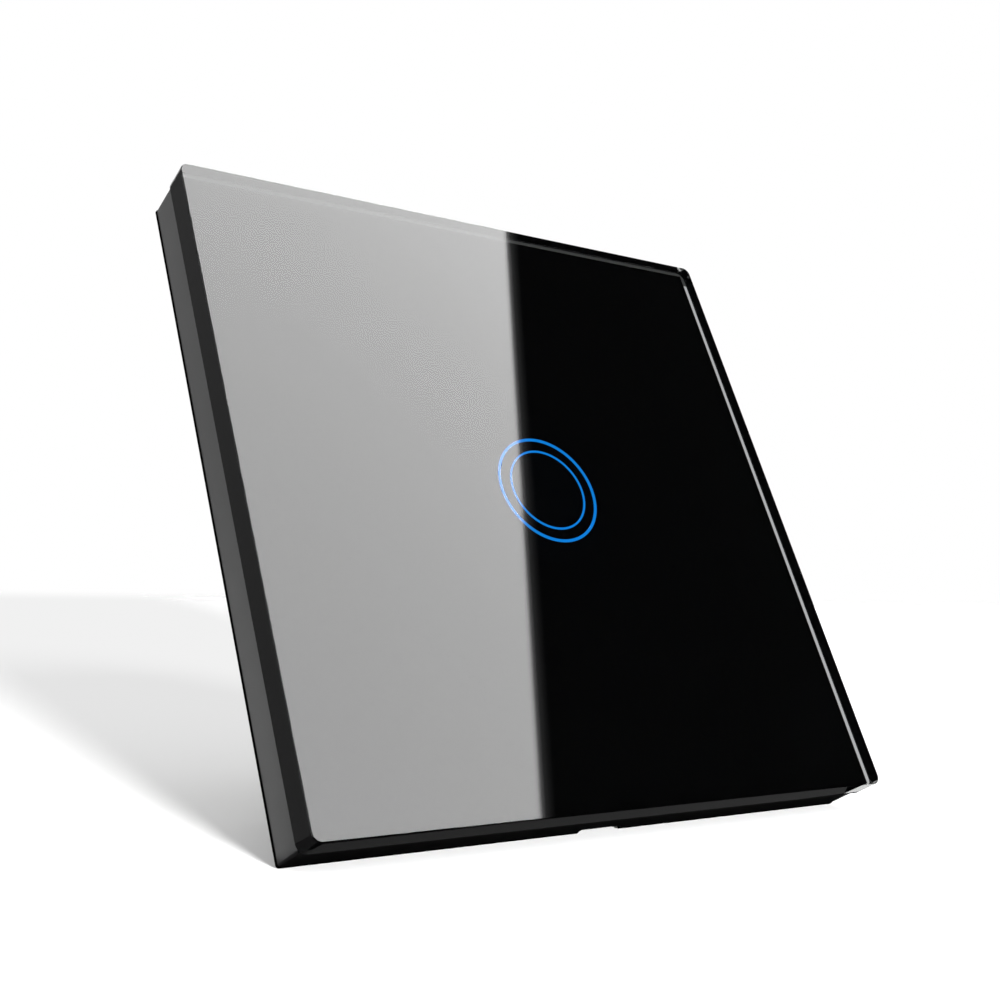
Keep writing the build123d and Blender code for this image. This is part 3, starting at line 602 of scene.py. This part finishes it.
def uneven(tree, noise, low, high):
    """A value that wanders between two others as a noise does."""
    return mapped(tree, noise, noise_low, noise_high, low, high)


window_rim = circle_points(middle_of(window_low, window_high), window_radius, window_steps)
print_rim = square_points(print_low, print_high, window_steps)
ink_sheet = washer("black_ink", print_rim, window_rim, print_front, print_high.y)
place_piece(ink_sheet, "back_print")
black_ink, tree, skin = new_material("fired_black_ink", {"Roughness": 0.5, "Specular IOR Level": 0.0})
grain = texture(tree, "Noise", Scale=9000.0, Detail=3.0)
join(tree, tinted(tree, grain.outputs["Fac"], ink_darker, ink_lighter), skin.inputs["Base Color"])
ink_sheet.data.materials.append(black_ink)

window = stacked("smoked_ink", [(window_rim, print_front), (window_rim, print_high.y)])
shade_by_angle(window)
place_piece(window, "smoked_window")
smoked_ink, tree, skin = new_material("smoked_ink", {"Base Color": smoked_black, "Specular IOR Level": 0.0})
grain = texture(tree, "Noise", Scale=7000.0, Detail=2.0)
join(tree, uneven(tree, grain.outputs["Fac"], *smoked_roughness), skin.inputs["Roughness"])
window.data.materials.append(smoked_ink)


# Touch rings. Two thin rings of blue enamel in shallow grooves of the glass, polished level with
# its face. They are lit from behind by the light guide, so they glow evenly, and they keep the
# same gloss as the glass.
ring_steps = 160
ring_body = (0.002, 0.01, 0.03)
ring_deeper = (0.003, 0.185, 0.61)
ring_brighter = (0.006, 0.205, 0.69)
ring_glow = 1.0

enamel, tree, skin = new_material("blue_enamel", {
    "Base Color": ring_body,
    "Roughness": 0.0,
    "IOR": 1.5,
    "Emission Strength": ring_glow,
})
cloud = texture(tree, "Noise", Scale=1400.0, Detail=3.0)
join(tree, tinted(tree, cloud.outputs["Fac"], ring_deeper, ring_brighter), skin.inputs["Emission Color"])
for name in ("inner_touch_ring", "outer_touch_ring"):
    low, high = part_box(name)
    middle = middle_of(low, high)
    outer_radius = (high.x - low.x) / 2
    inner_radius = min(
        round(math.hypot(v.co.x - middle[0], v.co.z - middle[1]), 5)
        for v in frame["nodes"][name].data.vertices)
    outer, inner = [circle_points(middle, radius, ring_steps) for radius in (outer_radius, inner_radius)]
    ring = washer(name + "_enamel", outer, inner, low.y, high.y)
    shade_by_angle(ring)
    place_piece(ring, name)
    ring.data.materials.append(enamel)


# Front frame and its tape. The frame is one moulding in black polycarbonate with a fine even
# spark finish. It has a low lip round its back edge, a notch to prise it off and four tabs that
# grip the yoke. Its back 0.4 mm is painted near-black and without gloss, a painted shade for the
# shadow line along that edge. Black foam tape holds the glass to its ledge.
frame_edge = 0.00006
painted_shade_depth = 0.0004
painted_shade_blend = 0.00005
lip_painted_shade = (0.002, 0.002, 0.002)
plastic_gloss = 0.5
tape_edge = 0.00005
weld_distance = 0.000001
flat_angle = math.radians(1)
sharp_angle = math.radians(30)
cell_fineness = 0.6
cell_weight = 0.5
flow_size = 60.0


def baked(piece, kind, **settings):
    """Applies one modifier to a piece for good."""
    change = piece.modifiers.new(kind.lower(), kind)
    for key, value in settings.items():
        setattr(change, key, value)
    bpy.context.view_layer.update()
    finished = bpy.data.meshes.new_from_object(piece.evaluated_get(bpy.context.evaluated_depsgraph_get()))
    finished.name = piece.data.name
    finished.materials.clear()
    piece.modifiers.clear()
    piece.data = finished


def softened(node, width, steps=2):
    """A copy of a node's mesh with its sharp edges rounded by a small amount."""
    shell = bmesh.new()
    shell.from_mesh(frame["nodes"][node].data)
    bmesh.ops.remove_doubles(shell, verts=shell.verts, dist=weld_distance)
    bmesh.ops.dissolve_limit(shell, angle_limit=flat_angle, verts=shell.verts, edges=shell.edges)
    mesh = bpy.data.meshes.new(node + "_shell")
    shell.to_mesh(mesh)
    shell.free()
    piece = bpy.data.objects.new(mesh.name, mesh)
    scene.collection.objects.link(piece)
    baked(piece, "BEVEL", width=width, segments=steps, limit_method="ANGLE", angle_limit=sharp_angle)
    shade_by_angle(piece, degrees=40)
    baked(piece, "WEIGHTED_NORMAL", keep_sharp=True)
    scene.collection.objects.unlink(piece)
    return place_piece(piece, node)


moulding, ins, outs = new_group("moulded_grain", [("Grain", 5200.0), ("Flow", flow_size)], ["Height", "Flow"])
pits = texture(moulding, "Noise", Detail=2.0, Roughness=0.55)
cells = texture(moulding, "Voronoi", {"feature": "SMOOTH_F1"})
flow = texture(moulding, "Noise", Detail=4.0, Distortion=0.8)
join(moulding, ins.outputs["Grain"], pits.inputs["Scale"])
join(moulding, calculate(moulding, "MULTIPLY", ins.outputs["Grain"], cell_fineness), cells.inputs["Scale"])
join(moulding, ins.outputs["Flow"], flow.inputs["Scale"])
cell_height = calculate(moulding, "MULTIPLY", cells.outputs["Distance"], cell_weight)
join(moulding, calculate(moulding, "ADD", pits.outputs["Fac"], cell_height), outs.inputs["Height"])
join(moulding, flow.outputs["Fac"], outs.inputs["Flow"])


def raised(tree, skin, height, strength, distance):
    """Gives a material a fine relief."""
    relief = new_node(tree, "ShaderNodeBump", Strength=strength, Distance=distance)
    join(tree, height, relief.inputs["Height"])
    join(tree, relief.outputs["Normal"], skin.inputs["Normal"])


def moulded(name, dark, light, roughness, grain=5200.0, bump=0.25, relief=0.00001, **settings):
    """A moulded plastic with a fine grain, and slow changes of tone and gloss where it flowed."""
    made, tree, skin = new_material(name, {"IOR": 1.5, **settings})
    surface = put_group(tree, moulding, Grain=grain, Flow=flow_size)
    join(tree, tinted(tree, surface.outputs["Flow"], dark, light), skin.inputs["Base Color"])
    join(tree, uneven(tree, surface.outputs["Flow"], *roughness), skin.inputs["Roughness"])
    raised(tree, skin, surface.outputs["Height"], bump, relief)
    return made


frame_shell = softened("front_frame", frame_edge)
black_plastic = moulded("black_polycarbonate", (0.016, 0.016, 0.0165), (0.022, 0.022, 0.0225), (0.36, 0.42))
tree = black_plastic.node_tree
skin = tree.nodes["Principled BSDF"]
plastic_tone = skin.inputs["Base Color"].links[0].from_socket
# The back of the frame is painted near-black and without gloss: painted shade along the back edge.
clear_of_painted_shade = mapped(tree, along(tree, "Y"), -painted_shade_depth - painted_shade_blend, -painted_shade_depth, 1.0, 0.0)
join(tree, tinted(tree, clear_of_painted_shade, lip_painted_shade, plastic_tone), skin.inputs["Base Color"])
join(tree, calculate(tree, "MULTIPLY", clear_of_painted_shade, plastic_gloss), skin.inputs["Specular IOR Level"])
frame_shell.data.materials.append(black_plastic)

tape = softened("panel_tape", tape_edge, steps=1)
foam_black = moulded(
    "foam_tape", (0.015, 0.015, 0.015), (0.03, 0.03, 0.03), (0.85, 0.95),
    grain=3000.0, bump=0.8, relief=0.00005)
tape.data.materials.append(foam_black)


# Yoke. A plate of 1 mm galvanised steel, stamped in one stroke with its window and two fixing
# slots. It is screwed to the wall box, and the tabs of the frame grip its edges.
yoke_edge = 0.00008
rolling_stretch = (0.04, 1.0, 1.0)
metal_relief = 0.00002

sheet_metal, ins, outs = new_group(
    "sheet_metal", [("Spangle", 260.0), ("Rolling", 900.0)], ["Spangle", "Streaks"])
flakes = texture(sheet_metal, "Voronoi", {"feature": "F1"}, Randomness=1.0)
shade = new_node(sheet_metal, "ShaderNodeSeparateColor")
where = new_node(sheet_metal, "ShaderNodeTexCoord")
stretch = new_node(sheet_metal, "ShaderNodeMapping", Scale=rolling_stretch)
streaks = new_node(sheet_metal, "ShaderNodeTexNoise", Detail=4.0, Roughness=0.7)
join(sheet_metal, ins.outputs["Spangle"], flakes.inputs["Scale"])
join(sheet_metal, flakes.outputs["Color"], shade.inputs["Color"])
join(sheet_metal, shade.outputs["Red"], outs.inputs["Spangle"])
join(sheet_metal, where.outputs["Object"], stretch.inputs["Vector"])
join(sheet_metal, stretch.outputs["Vector"], streaks.inputs["Vector"])
join(sheet_metal, ins.outputs["Rolling"], streaks.inputs["Scale"])
join(sheet_metal, streaks.outputs["Fac"], outs.inputs["Streaks"])


def metal(name, dark, light, roughness, spangle, rolling, bump):
    """A bare or plated metal with its crystals, rolling lines and a slightly uneven gloss."""
    made, tree, skin = new_material(name, {"Metallic": 1.0})
    surface = put_group(tree, sheet_metal, Spangle=spangle, Rolling=rolling)
    join(tree, tinted(tree, surface.outputs["Spangle"], dark, light), skin.inputs["Base Color"])
    join(tree, uneven(tree, surface.outputs["Streaks"], *roughness), skin.inputs["Roughness"])
    raised(tree, skin, surface.outputs["Streaks"], bump, metal_relief)
    return made


def dress(material, *nodes):
    """Gives nodes of the model a finish, with their own shapes."""
    for name in nodes:
        frame["nodes"][name].data.materials.clear()
        frame["nodes"][name].data.materials.append(material)


def dress_softened(material, edge, *nodes):
    """Gives nodes slightly rounded edges and a finish."""
    for name in nodes:
        softened(name, edge).data.materials.append(material)


zinc = metal(
    "galvanised_steel", (0.48, 0.49, 0.50), (0.58, 0.59, 0.60), (0.30, 0.46),
    spangle=520.0, rolling=1400.0, bump=0.06)
dress_softened(zinc, yoke_edge, "yoke_plate")


# Cover and rear housing. Two mouldings in warm white flame-proof polycarbonate blend. The cover
# closes the front and holds the light guide. The housing carries the boards and the terminal
# block on its ribs, and four screws pull the two together through the yoke.
moulding_edge = 0.00012
white_plastic = moulded(
    "warm_white_plastic", (0.66, 0.65, 0.61), (0.71, 0.70, 0.66), (0.42, 0.52), grain=3600.0, bump=0.18)
dress_softened(white_plastic, moulding_edge, "base_cover", "rear_housing")


# Light guide, seal and foam. The guide is moulded in milky acrylic, with a rib under each touch
# ring. A black rubber ring keeps its light off the board, and a plug of conductive foam inside
# it carries the touch from the glass to the board.
guide_edge = 0.00006
foam_swell = 0.94
foam_steps = 48
foam_rings = 10
foam_belly = 0.6
foam_wall = (0.09, 0.09, 0.095)
pore_painted_shade = (0.025, 0.025, 0.028)
foam_wall_width = 0.25
foam_wall_slope = 0.3
foam_relief = 0.0001
milky = moulded(
    "milky_acrylic", (0.74, 0.78, 0.80), (0.82, 0.85, 0.86), (0.24, 0.34), grain=2400.0, bump=0.08,
    **{"Subsurface Weight": 0.15, "Subsurface Scale": 0.002})
dress_softened(milky, guide_edge, "light_guide")
rubber = moulded(
    "black_rubber", (0.018, 0.018, 0.019), (0.030, 0.030, 0.031), (0.72, 0.86),
    grain=4200.0, bump=0.5, relief=0.00002)
dress_softened(rubber, guide_edge, "light_seal")

foam_low, foam_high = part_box("touch_foam")
foam_radius = (foam_high.x - foam_low.x) / 2
foam_loops = []
for step in range(foam_rings + 1):
    height = step / foam_rings
    bulge = foam_swell + (1 - foam_swell) * math.sin(math.pi * height) ** foam_belly
    depth = foam_low.y + (foam_high.y - foam_low.y) * height
    foam_loops.append((circle_points(middle_of(foam_low, foam_high), foam_radius * bulge, foam_steps), depth))
foam = stacked("foam_plug", foam_loops)
shade_by_angle(foam, degrees=50)
place_piece(foam, "touch_foam")
foam_skin, tree, skin = new_material("conductive_foam", {"Roughness": 0.95})
cells = texture(tree, "Voronoi", {"feature": "DISTANCE_TO_EDGE"}, Scale=2600.0)
pore_shade_share = mapped(tree, cells.outputs["Distance"], 0.0, foam_wall_width, 0.0, 1.0)
wall_height = mapped(tree, cells.outputs["Distance"], 0.0, foam_wall_slope, 1.0, 0.0)
# Darker inside each pore than on its walls: painted shade in the pores.
join(tree, tinted(tree, pore_shade_share, foam_wall, pore_painted_shade), skin.inputs["Base Color"])
raised(tree, skin, wall_height, strength=0.9, distance=foam_relief)
foam.data.materials.append(foam_skin)


# Touch board. Glass-epoxy with green solder mask over copper tracks and tinned pads, held by two
# small screws. Four lamps stand on its front, and the radio module and the touch chip are
# soldered to its back.
track_pitch = 1500.0
track_edge = (0.22, 0.30)
block_fineness = 0.10
turned_share = 0.5
poured_share = 0.62
pad_fineness = 0.28
pad_edge = (0.10, 0.14)
cloud_fineness = 0.05
pad_metal = (0.62, 0.62, 0.60)
board_roughness = (0.25, 0.42)
track_relief = 0.00004
lamp_edge = 0.00005
screw_edge = 0.00006

printed_board, ins, outs = new_group(
    "printed_board", [("Pitch", track_pitch)], ["Tracks", "Pads", "Cloud"])
blocks = texture(printed_board, "Voronoi", {"feature": "F1", "distance": "CHEBYCHEV"}, Randomness=0.9)
dots = texture(printed_board, "Voronoi", {"feature": "F1"}, Randomness=0.55)
cloud = texture(printed_board, "Noise", Detail=3.0)
for pattern, fineness in ((blocks, block_fineness), (dots, pad_fineness), (cloud, cloud_fineness)):
    scale = calculate(printed_board, "MULTIPLY", ins.outputs["Pitch"], fineness)
    join(printed_board, scale, pattern.inputs["Scale"])
block = new_node(printed_board, "ShaderNodeSeparateColor")
join(printed_board, blocks.outputs["Color"], block.inputs["Color"])
turned = new_node(printed_board, "ShaderNodeMix", {"data_type": "FLOAT"})
turning = calculate(printed_board, "GREATER_THAN", block.outputs["Red"], turned_share)
join(printed_board, turning, turned.inputs["Factor"])
for axis, label in (("X", "A"), ("Z", "B")):
    lane = calculate(printed_board, "MULTIPLY", along(printed_board, axis), ins.outputs["Pitch"])
    fraction = calculate(printed_board, "PINGPONG", lane, 0.5)
    join(printed_board, mapped(printed_board, fraction, *track_edge, 0.0, 1.0), turned.inputs[label])
poured = calculate(printed_board, "GREATER_THAN", block.outputs["Green"], poured_share)
tracks = calculate(printed_board, "MAXIMUM", turned.outputs["Result"], poured)
pads = mapped(printed_board, dots.outputs["Distance"], *pad_edge, 1.0, 0.0)
join(printed_board, tracks, outs.inputs["Tracks"])
join(printed_board, pads, outs.inputs["Pads"])
join(printed_board, cloud.outputs["Fac"], outs.inputs["Cloud"])


def board_finish(name, mask, over_copper, pitch):
    """A printed circuit board: solder mask, the tracks that show through it, and bare pads."""
    made, tree, skin = new_material(name, {})
    surface = put_group(tree, printed_board, Pitch=pitch)
    tracks, pads = surface.outputs["Tracks"], surface.outputs["Pads"]
    covered = tinted(tree, tracks, mask, over_copper)
    join(tree, tinted(tree, pads, covered, pad_metal), skin.inputs["Base Color"])
    join(tree, pads, skin.inputs["Metallic"])
    join(tree, uneven(tree, surface.outputs["Cloud"], *board_roughness), skin.inputs["Roughness"])
    raised(tree, skin, tracks, strength=0.4, distance=track_relief)
    return made


green_board = board_finish("green_board", (0.010, 0.085, 0.030), (0.022, 0.16, 0.055), track_pitch)
dress(green_board, "touch_board")

lamp_skin = moulded(
    "lamp_body", (0.72, 0.70, 0.62), (0.80, 0.78, 0.70), (0.3, 0.4), grain=8000.0, bump=0.1)
dress_softened(lamp_skin, lamp_edge, "ring_lights")
screw_zinc = metal(
    "zinc_plated_screw", (0.56, 0.56, 0.56), (0.64, 0.65, 0.66), (0.22, 0.36),
    spangle=9000.0, rolling=4000.0, bump=0.2)
dress_softened(screw_zinc, screw_edge, "touch_board_screws")


# Radio module and touch chip. The module is a small blue board of its own with a tin-plated
# steel can over its circuit, and the chip is black epoxy. Both are soldered down by their edges.
module_track_pitch = 2600.0
chip_edge = 0.00008
blue_board = board_finish("blue_board", (0.010, 0.035, 0.16), (0.02, 0.08, 0.30), module_track_pitch)
dress(blue_board, "radio_board")
can_tin = metal(
    "tin_plated_can", (0.62, 0.62, 0.61), (0.70, 0.70, 0.68), (0.20, 0.34),
    spangle=5000.0, rolling=1500.0, bump=0.15)
dress_softened(can_tin, chip_edge, "radio_shield")
epoxy = moulded(
    "black_epoxy", (0.018, 0.018, 0.020), (0.030, 0.030, 0.032), (0.45, 0.60), grain=9000.0, bump=0.4)
dress_softened(epoxy, chip_edge, "touch_chip")


# Pin header. Six gilt brass pins stand in a black strip on the power board and push into a black
# socket behind the touch board, so that the two boards come apart.
header_black = moulded(
    "header_nylon", (0.020, 0.020, 0.022), (0.032, 0.032, 0.034), (0.38, 0.50), grain=6000.0, bump=0.2)
dress_softened(header_black, chip_edge, "header_socket", "header_strip")
gilt = metal(
    "gilt_brass", (0.88, 0.66, 0.28), (0.95, 0.74, 0.35), (0.16, 0.28),
    spangle=9000.0, rolling=3000.0, bump=0.1)
dress(gilt, "header_pins")


# Power board and its small parts. The same green board, with a bridge rectifier and a control
# chip in black epoxy on its front.
dress(green_board, "power_board")
dress_softened(epoxy, chip_edge, "rectifier", "power_chip")


# Row above the relay. Two electrolytic cans in dark sleeves with bare tops, a disc against
# surges dipped in blue lacquer, a fuse in brown resin, and a choke: copper wire on a ferrite
# spool. All stand on the power board by their leads.
sleeve_end = 0.0006
sleeve_blend = 0.00005
sleeve_colour = (0.012, 0.014, 0.030)
bare_metal = (0.66, 0.66, 0.67)
can_roughness = (0.24, 0.40)
choke_flange = 0.0010
ferrite_darker = (0.030, 0.030, 0.031)
ferrite_lighter = (0.050, 0.049, 0.048)
wire_metallic = 0.9
wire_roughness = (0.22, 0.34)
wire_relief = 0.0001

can_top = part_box("bulk_capacitors")[1].y
can_sleeve, tree, skin = new_material("can_sleeve", {})
fine = texture(tree, "Noise", Scale=1800.0, Detail=3.0)
bare = mapped(tree, along(tree, "Y"), can_top - sleeve_end, can_top - sleeve_end + sleeve_blend, 0.0, 1.0)
join(tree, tinted(tree, bare, sleeve_colour, bare_metal), skin.inputs["Base Color"])
join(tree, bare, skin.inputs["Metallic"])
join(tree, uneven(tree, fine.outputs["Fac"], *can_roughness), skin.inputs["Roughness"])
dress(can_sleeve, "bulk_capacitors")

lacquer = moulded(
    "blue_lacquer", (0.010, 0.055, 0.30), (0.018, 0.085, 0.40), (0.22, 0.34),
    grain=700.0, bump=0.35, relief=0.00008, **{"Coat Weight": 0.4})
dress(lacquer, "surge_varistor")
resin = moulded(
    "brown_resin", (0.10, 0.032, 0.012), (0.15, 0.052, 0.022), (0.30, 0.42), grain=3000.0, bump=0.15)
dress(resin, "fuse")

wound, ins, outs = new_group("wound_wire", [("Wires", 20000.0)], ["Wires", "Sheen"])
drift = texture(wound, "Noise", Scale=500.0, Detail=2.0)
phase = calculate(wound, "MULTIPLY", along(wound, "Y"), ins.outputs["Wires"])
phase = calculate(wound, "ADD", phase, drift.outputs["Fac"])
turns = new_node(wound, "ShaderNodeMath", {"operation": "SINE"})
join(wound, phase, turns.inputs[0])
join(wound, mapped(wound, turns.outputs[0], -1.0, 1.0, 0.0, 1.0), outs.inputs["Wires"])
join(wound, drift.outputs["Fac"], outs.inputs["Sheen"])


def wire_finish(name, dark, light, wires):
    """Turns of wire laid side by side, seen as ridges along the winding, with a painted shade in the grooves
    between them.
    """
    made, tree, skin = new_material(name, {"Metallic": wire_metallic})
    surface = put_group(tree, wound, Wires=wires)
    # Colour follows the ridges, darker in the grooves between turns: painted shade.
    join(tree, tinted(tree, surface.outputs["Wires"], dark, light), skin.inputs["Base Color"])
    join(tree, uneven(tree, surface.outputs["Sheen"], *wire_roughness), skin.inputs["Roughness"])
    raised(tree, skin, surface.outputs["Wires"], strength=0.8, distance=wire_relief)
    return made


choke_low, choke_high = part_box("filter_choke")
choke_skin = wire_finish("choke_winding", (0.26, 0.075, 0.02), (0.72, 0.30, 0.12), wires=26000.0)
tree = choke_skin.node_tree
winding = tree.nodes["Principled BSDF"]
spool = new_node(tree, "ShaderNodeBsdfPrincipled", Roughness=0.6)
pores = put_group(tree, moulding, Flow=flow_size)
join(tree, tinted(tree, pores.outputs["Flow"], ferrite_darker, ferrite_lighter), spool.inputs["Base Color"])
after_flange = calculate(tree, "GREATER_THAN", along(tree, "Y"), choke_low.y + choke_flange)
before_flange = calculate(tree, "LESS_THAN", along(tree, "Y"), choke_high.y - choke_flange)
on_wire = calculate(tree, "MULTIPLY", after_flange, before_flange)
choke_surface = shared(tree, on_wire, spool.outputs[0], winding.outputs[0])
join(tree, choke_surface, tree.nodes["Material Output"].inputs["Surface"])
dress(choke_skin, "filter_choke")


# Transformer. Two halves of sintered ferrite clamped round a bobbin, whose winding is closed
# with yellow polyester tape.
winding_edge = 0.00015
ferrite = moulded("grey_ferrite", ferrite_darker, ferrite_lighter, (0.50, 0.66), grain=5000.0, bump=0.35)
dress_softened(ferrite, chip_edge, "transformer_core")
yellow_tape = moulded(
    "yellow_tape", (0.62, 0.44, 0.035), (0.72, 0.53, 0.06), (0.26, 0.38),
    grain=1200.0, bump=0.25, relief=0.00004)
dress_softened(yellow_tape, winding_edge, "transformer_winding")


# Relay. A blue case over a coil of enamelled copper on a nylon bobbin. The armature tips on the
# edge of the yoke and carries a bronze leaf with the moving contact, which meets the fixed one.
case_edge = 0.0002
iron_edge = 0.00005
contact_edge = 0.00008
relay_blue = moulded(
    "relay_case", (0.012, 0.060, 0.26), (0.020, 0.085, 0.33), (0.30, 0.42), grain=4200.0, bump=0.15)
dress_softened(relay_blue, case_edge, "relay_case")
dress(header_black, "relay_base")
dress(can_tin, "relay_pins")
soft_iron = metal(
    "nickel_plated_iron", (0.55, 0.53, 0.49), (0.62, 0.60, 0.56), (0.26, 0.40),
    spangle=6000.0, rolling=2200.0, bump=0.1)
dress_softened(soft_iron, iron_edge, "relay_yoke", "relay_core", "relay_armature")
bobbin_nylon = moulded(
    "bobbin_nylon", (0.55, 0.53, 0.47), (0.64, 0.62, 0.56), (0.36, 0.48), grain=4200.0, bump=0.15)
dress(bobbin_nylon, "relay_bobbin")
copper = wire_finish("enamelled_copper", (0.30, 0.085, 0.025), (0.80, 0.33, 0.13), wires=42000.0)
dress(copper, "relay_coil")
bronze = metal(
    "bronze_leaf", (0.64, 0.41, 0.19), (0.72, 0.48, 0.24), (0.22, 0.34),
    spangle=6000.0, rolling=2600.0, bump=0.1)
dress(bronze, "relay_contact_leaf")
silver = metal(
    "silver_contact", (0.78, 0.77, 0.74), (0.86, 0.85, 0.82), (0.20, 0.32),
    spangle=9000.0, rolling=3000.0, bump=0.1)
dress_softened(silver, contact_edge, "relay_fixed_contact", "relay_moving_contact")


# Terminal block. Grey nylon with three wells side by side. In each, a screw draws a steel box
# clamp up against a brass bar, and so traps the wire that comes in from below.
block_edge = 0.0001
bar_edge = 0.00006
clamp_edge = 0.00008
terminal_grey = moulded(
    "terminal_nylon", (0.30, 0.32, 0.33), (0.35, 0.37, 0.38), (0.40, 0.52), grain=3600.0, bump=0.2)
dress_softened(terminal_grey, block_edge, "terminal_block")
brass = metal(
    "bar_brass", (0.73, 0.53, 0.21), (0.80, 0.60, 0.26), (0.24, 0.38),
    spangle=5000.0, rolling=1800.0, bump=0.12)
dress_softened(brass, bar_edge, "contact_bars")
clamp_zinc = metal(
    "zinc_plated_clamp", (0.54, 0.52, 0.44), (0.62, 0.60, 0.50), (0.26, 0.40),
    spangle=6000.0, rolling=2400.0, bump=0.15)
for terminal in ("live", "neutral", "lamp"):
    dress_softened(clamp_zinc, clamp_edge, "terminal_clamp_" + terminal)
    dress_softened(screw_zinc, screw_edge, "terminal_screw_" + terminal)


# Housing screws. Four pan-head screws in zinc-plated steel, sunk in the corners of the housing.
housing_screw_edge = 0.00008
dress_softened(screw_zinc, housing_screw_edge, "housing_screws")
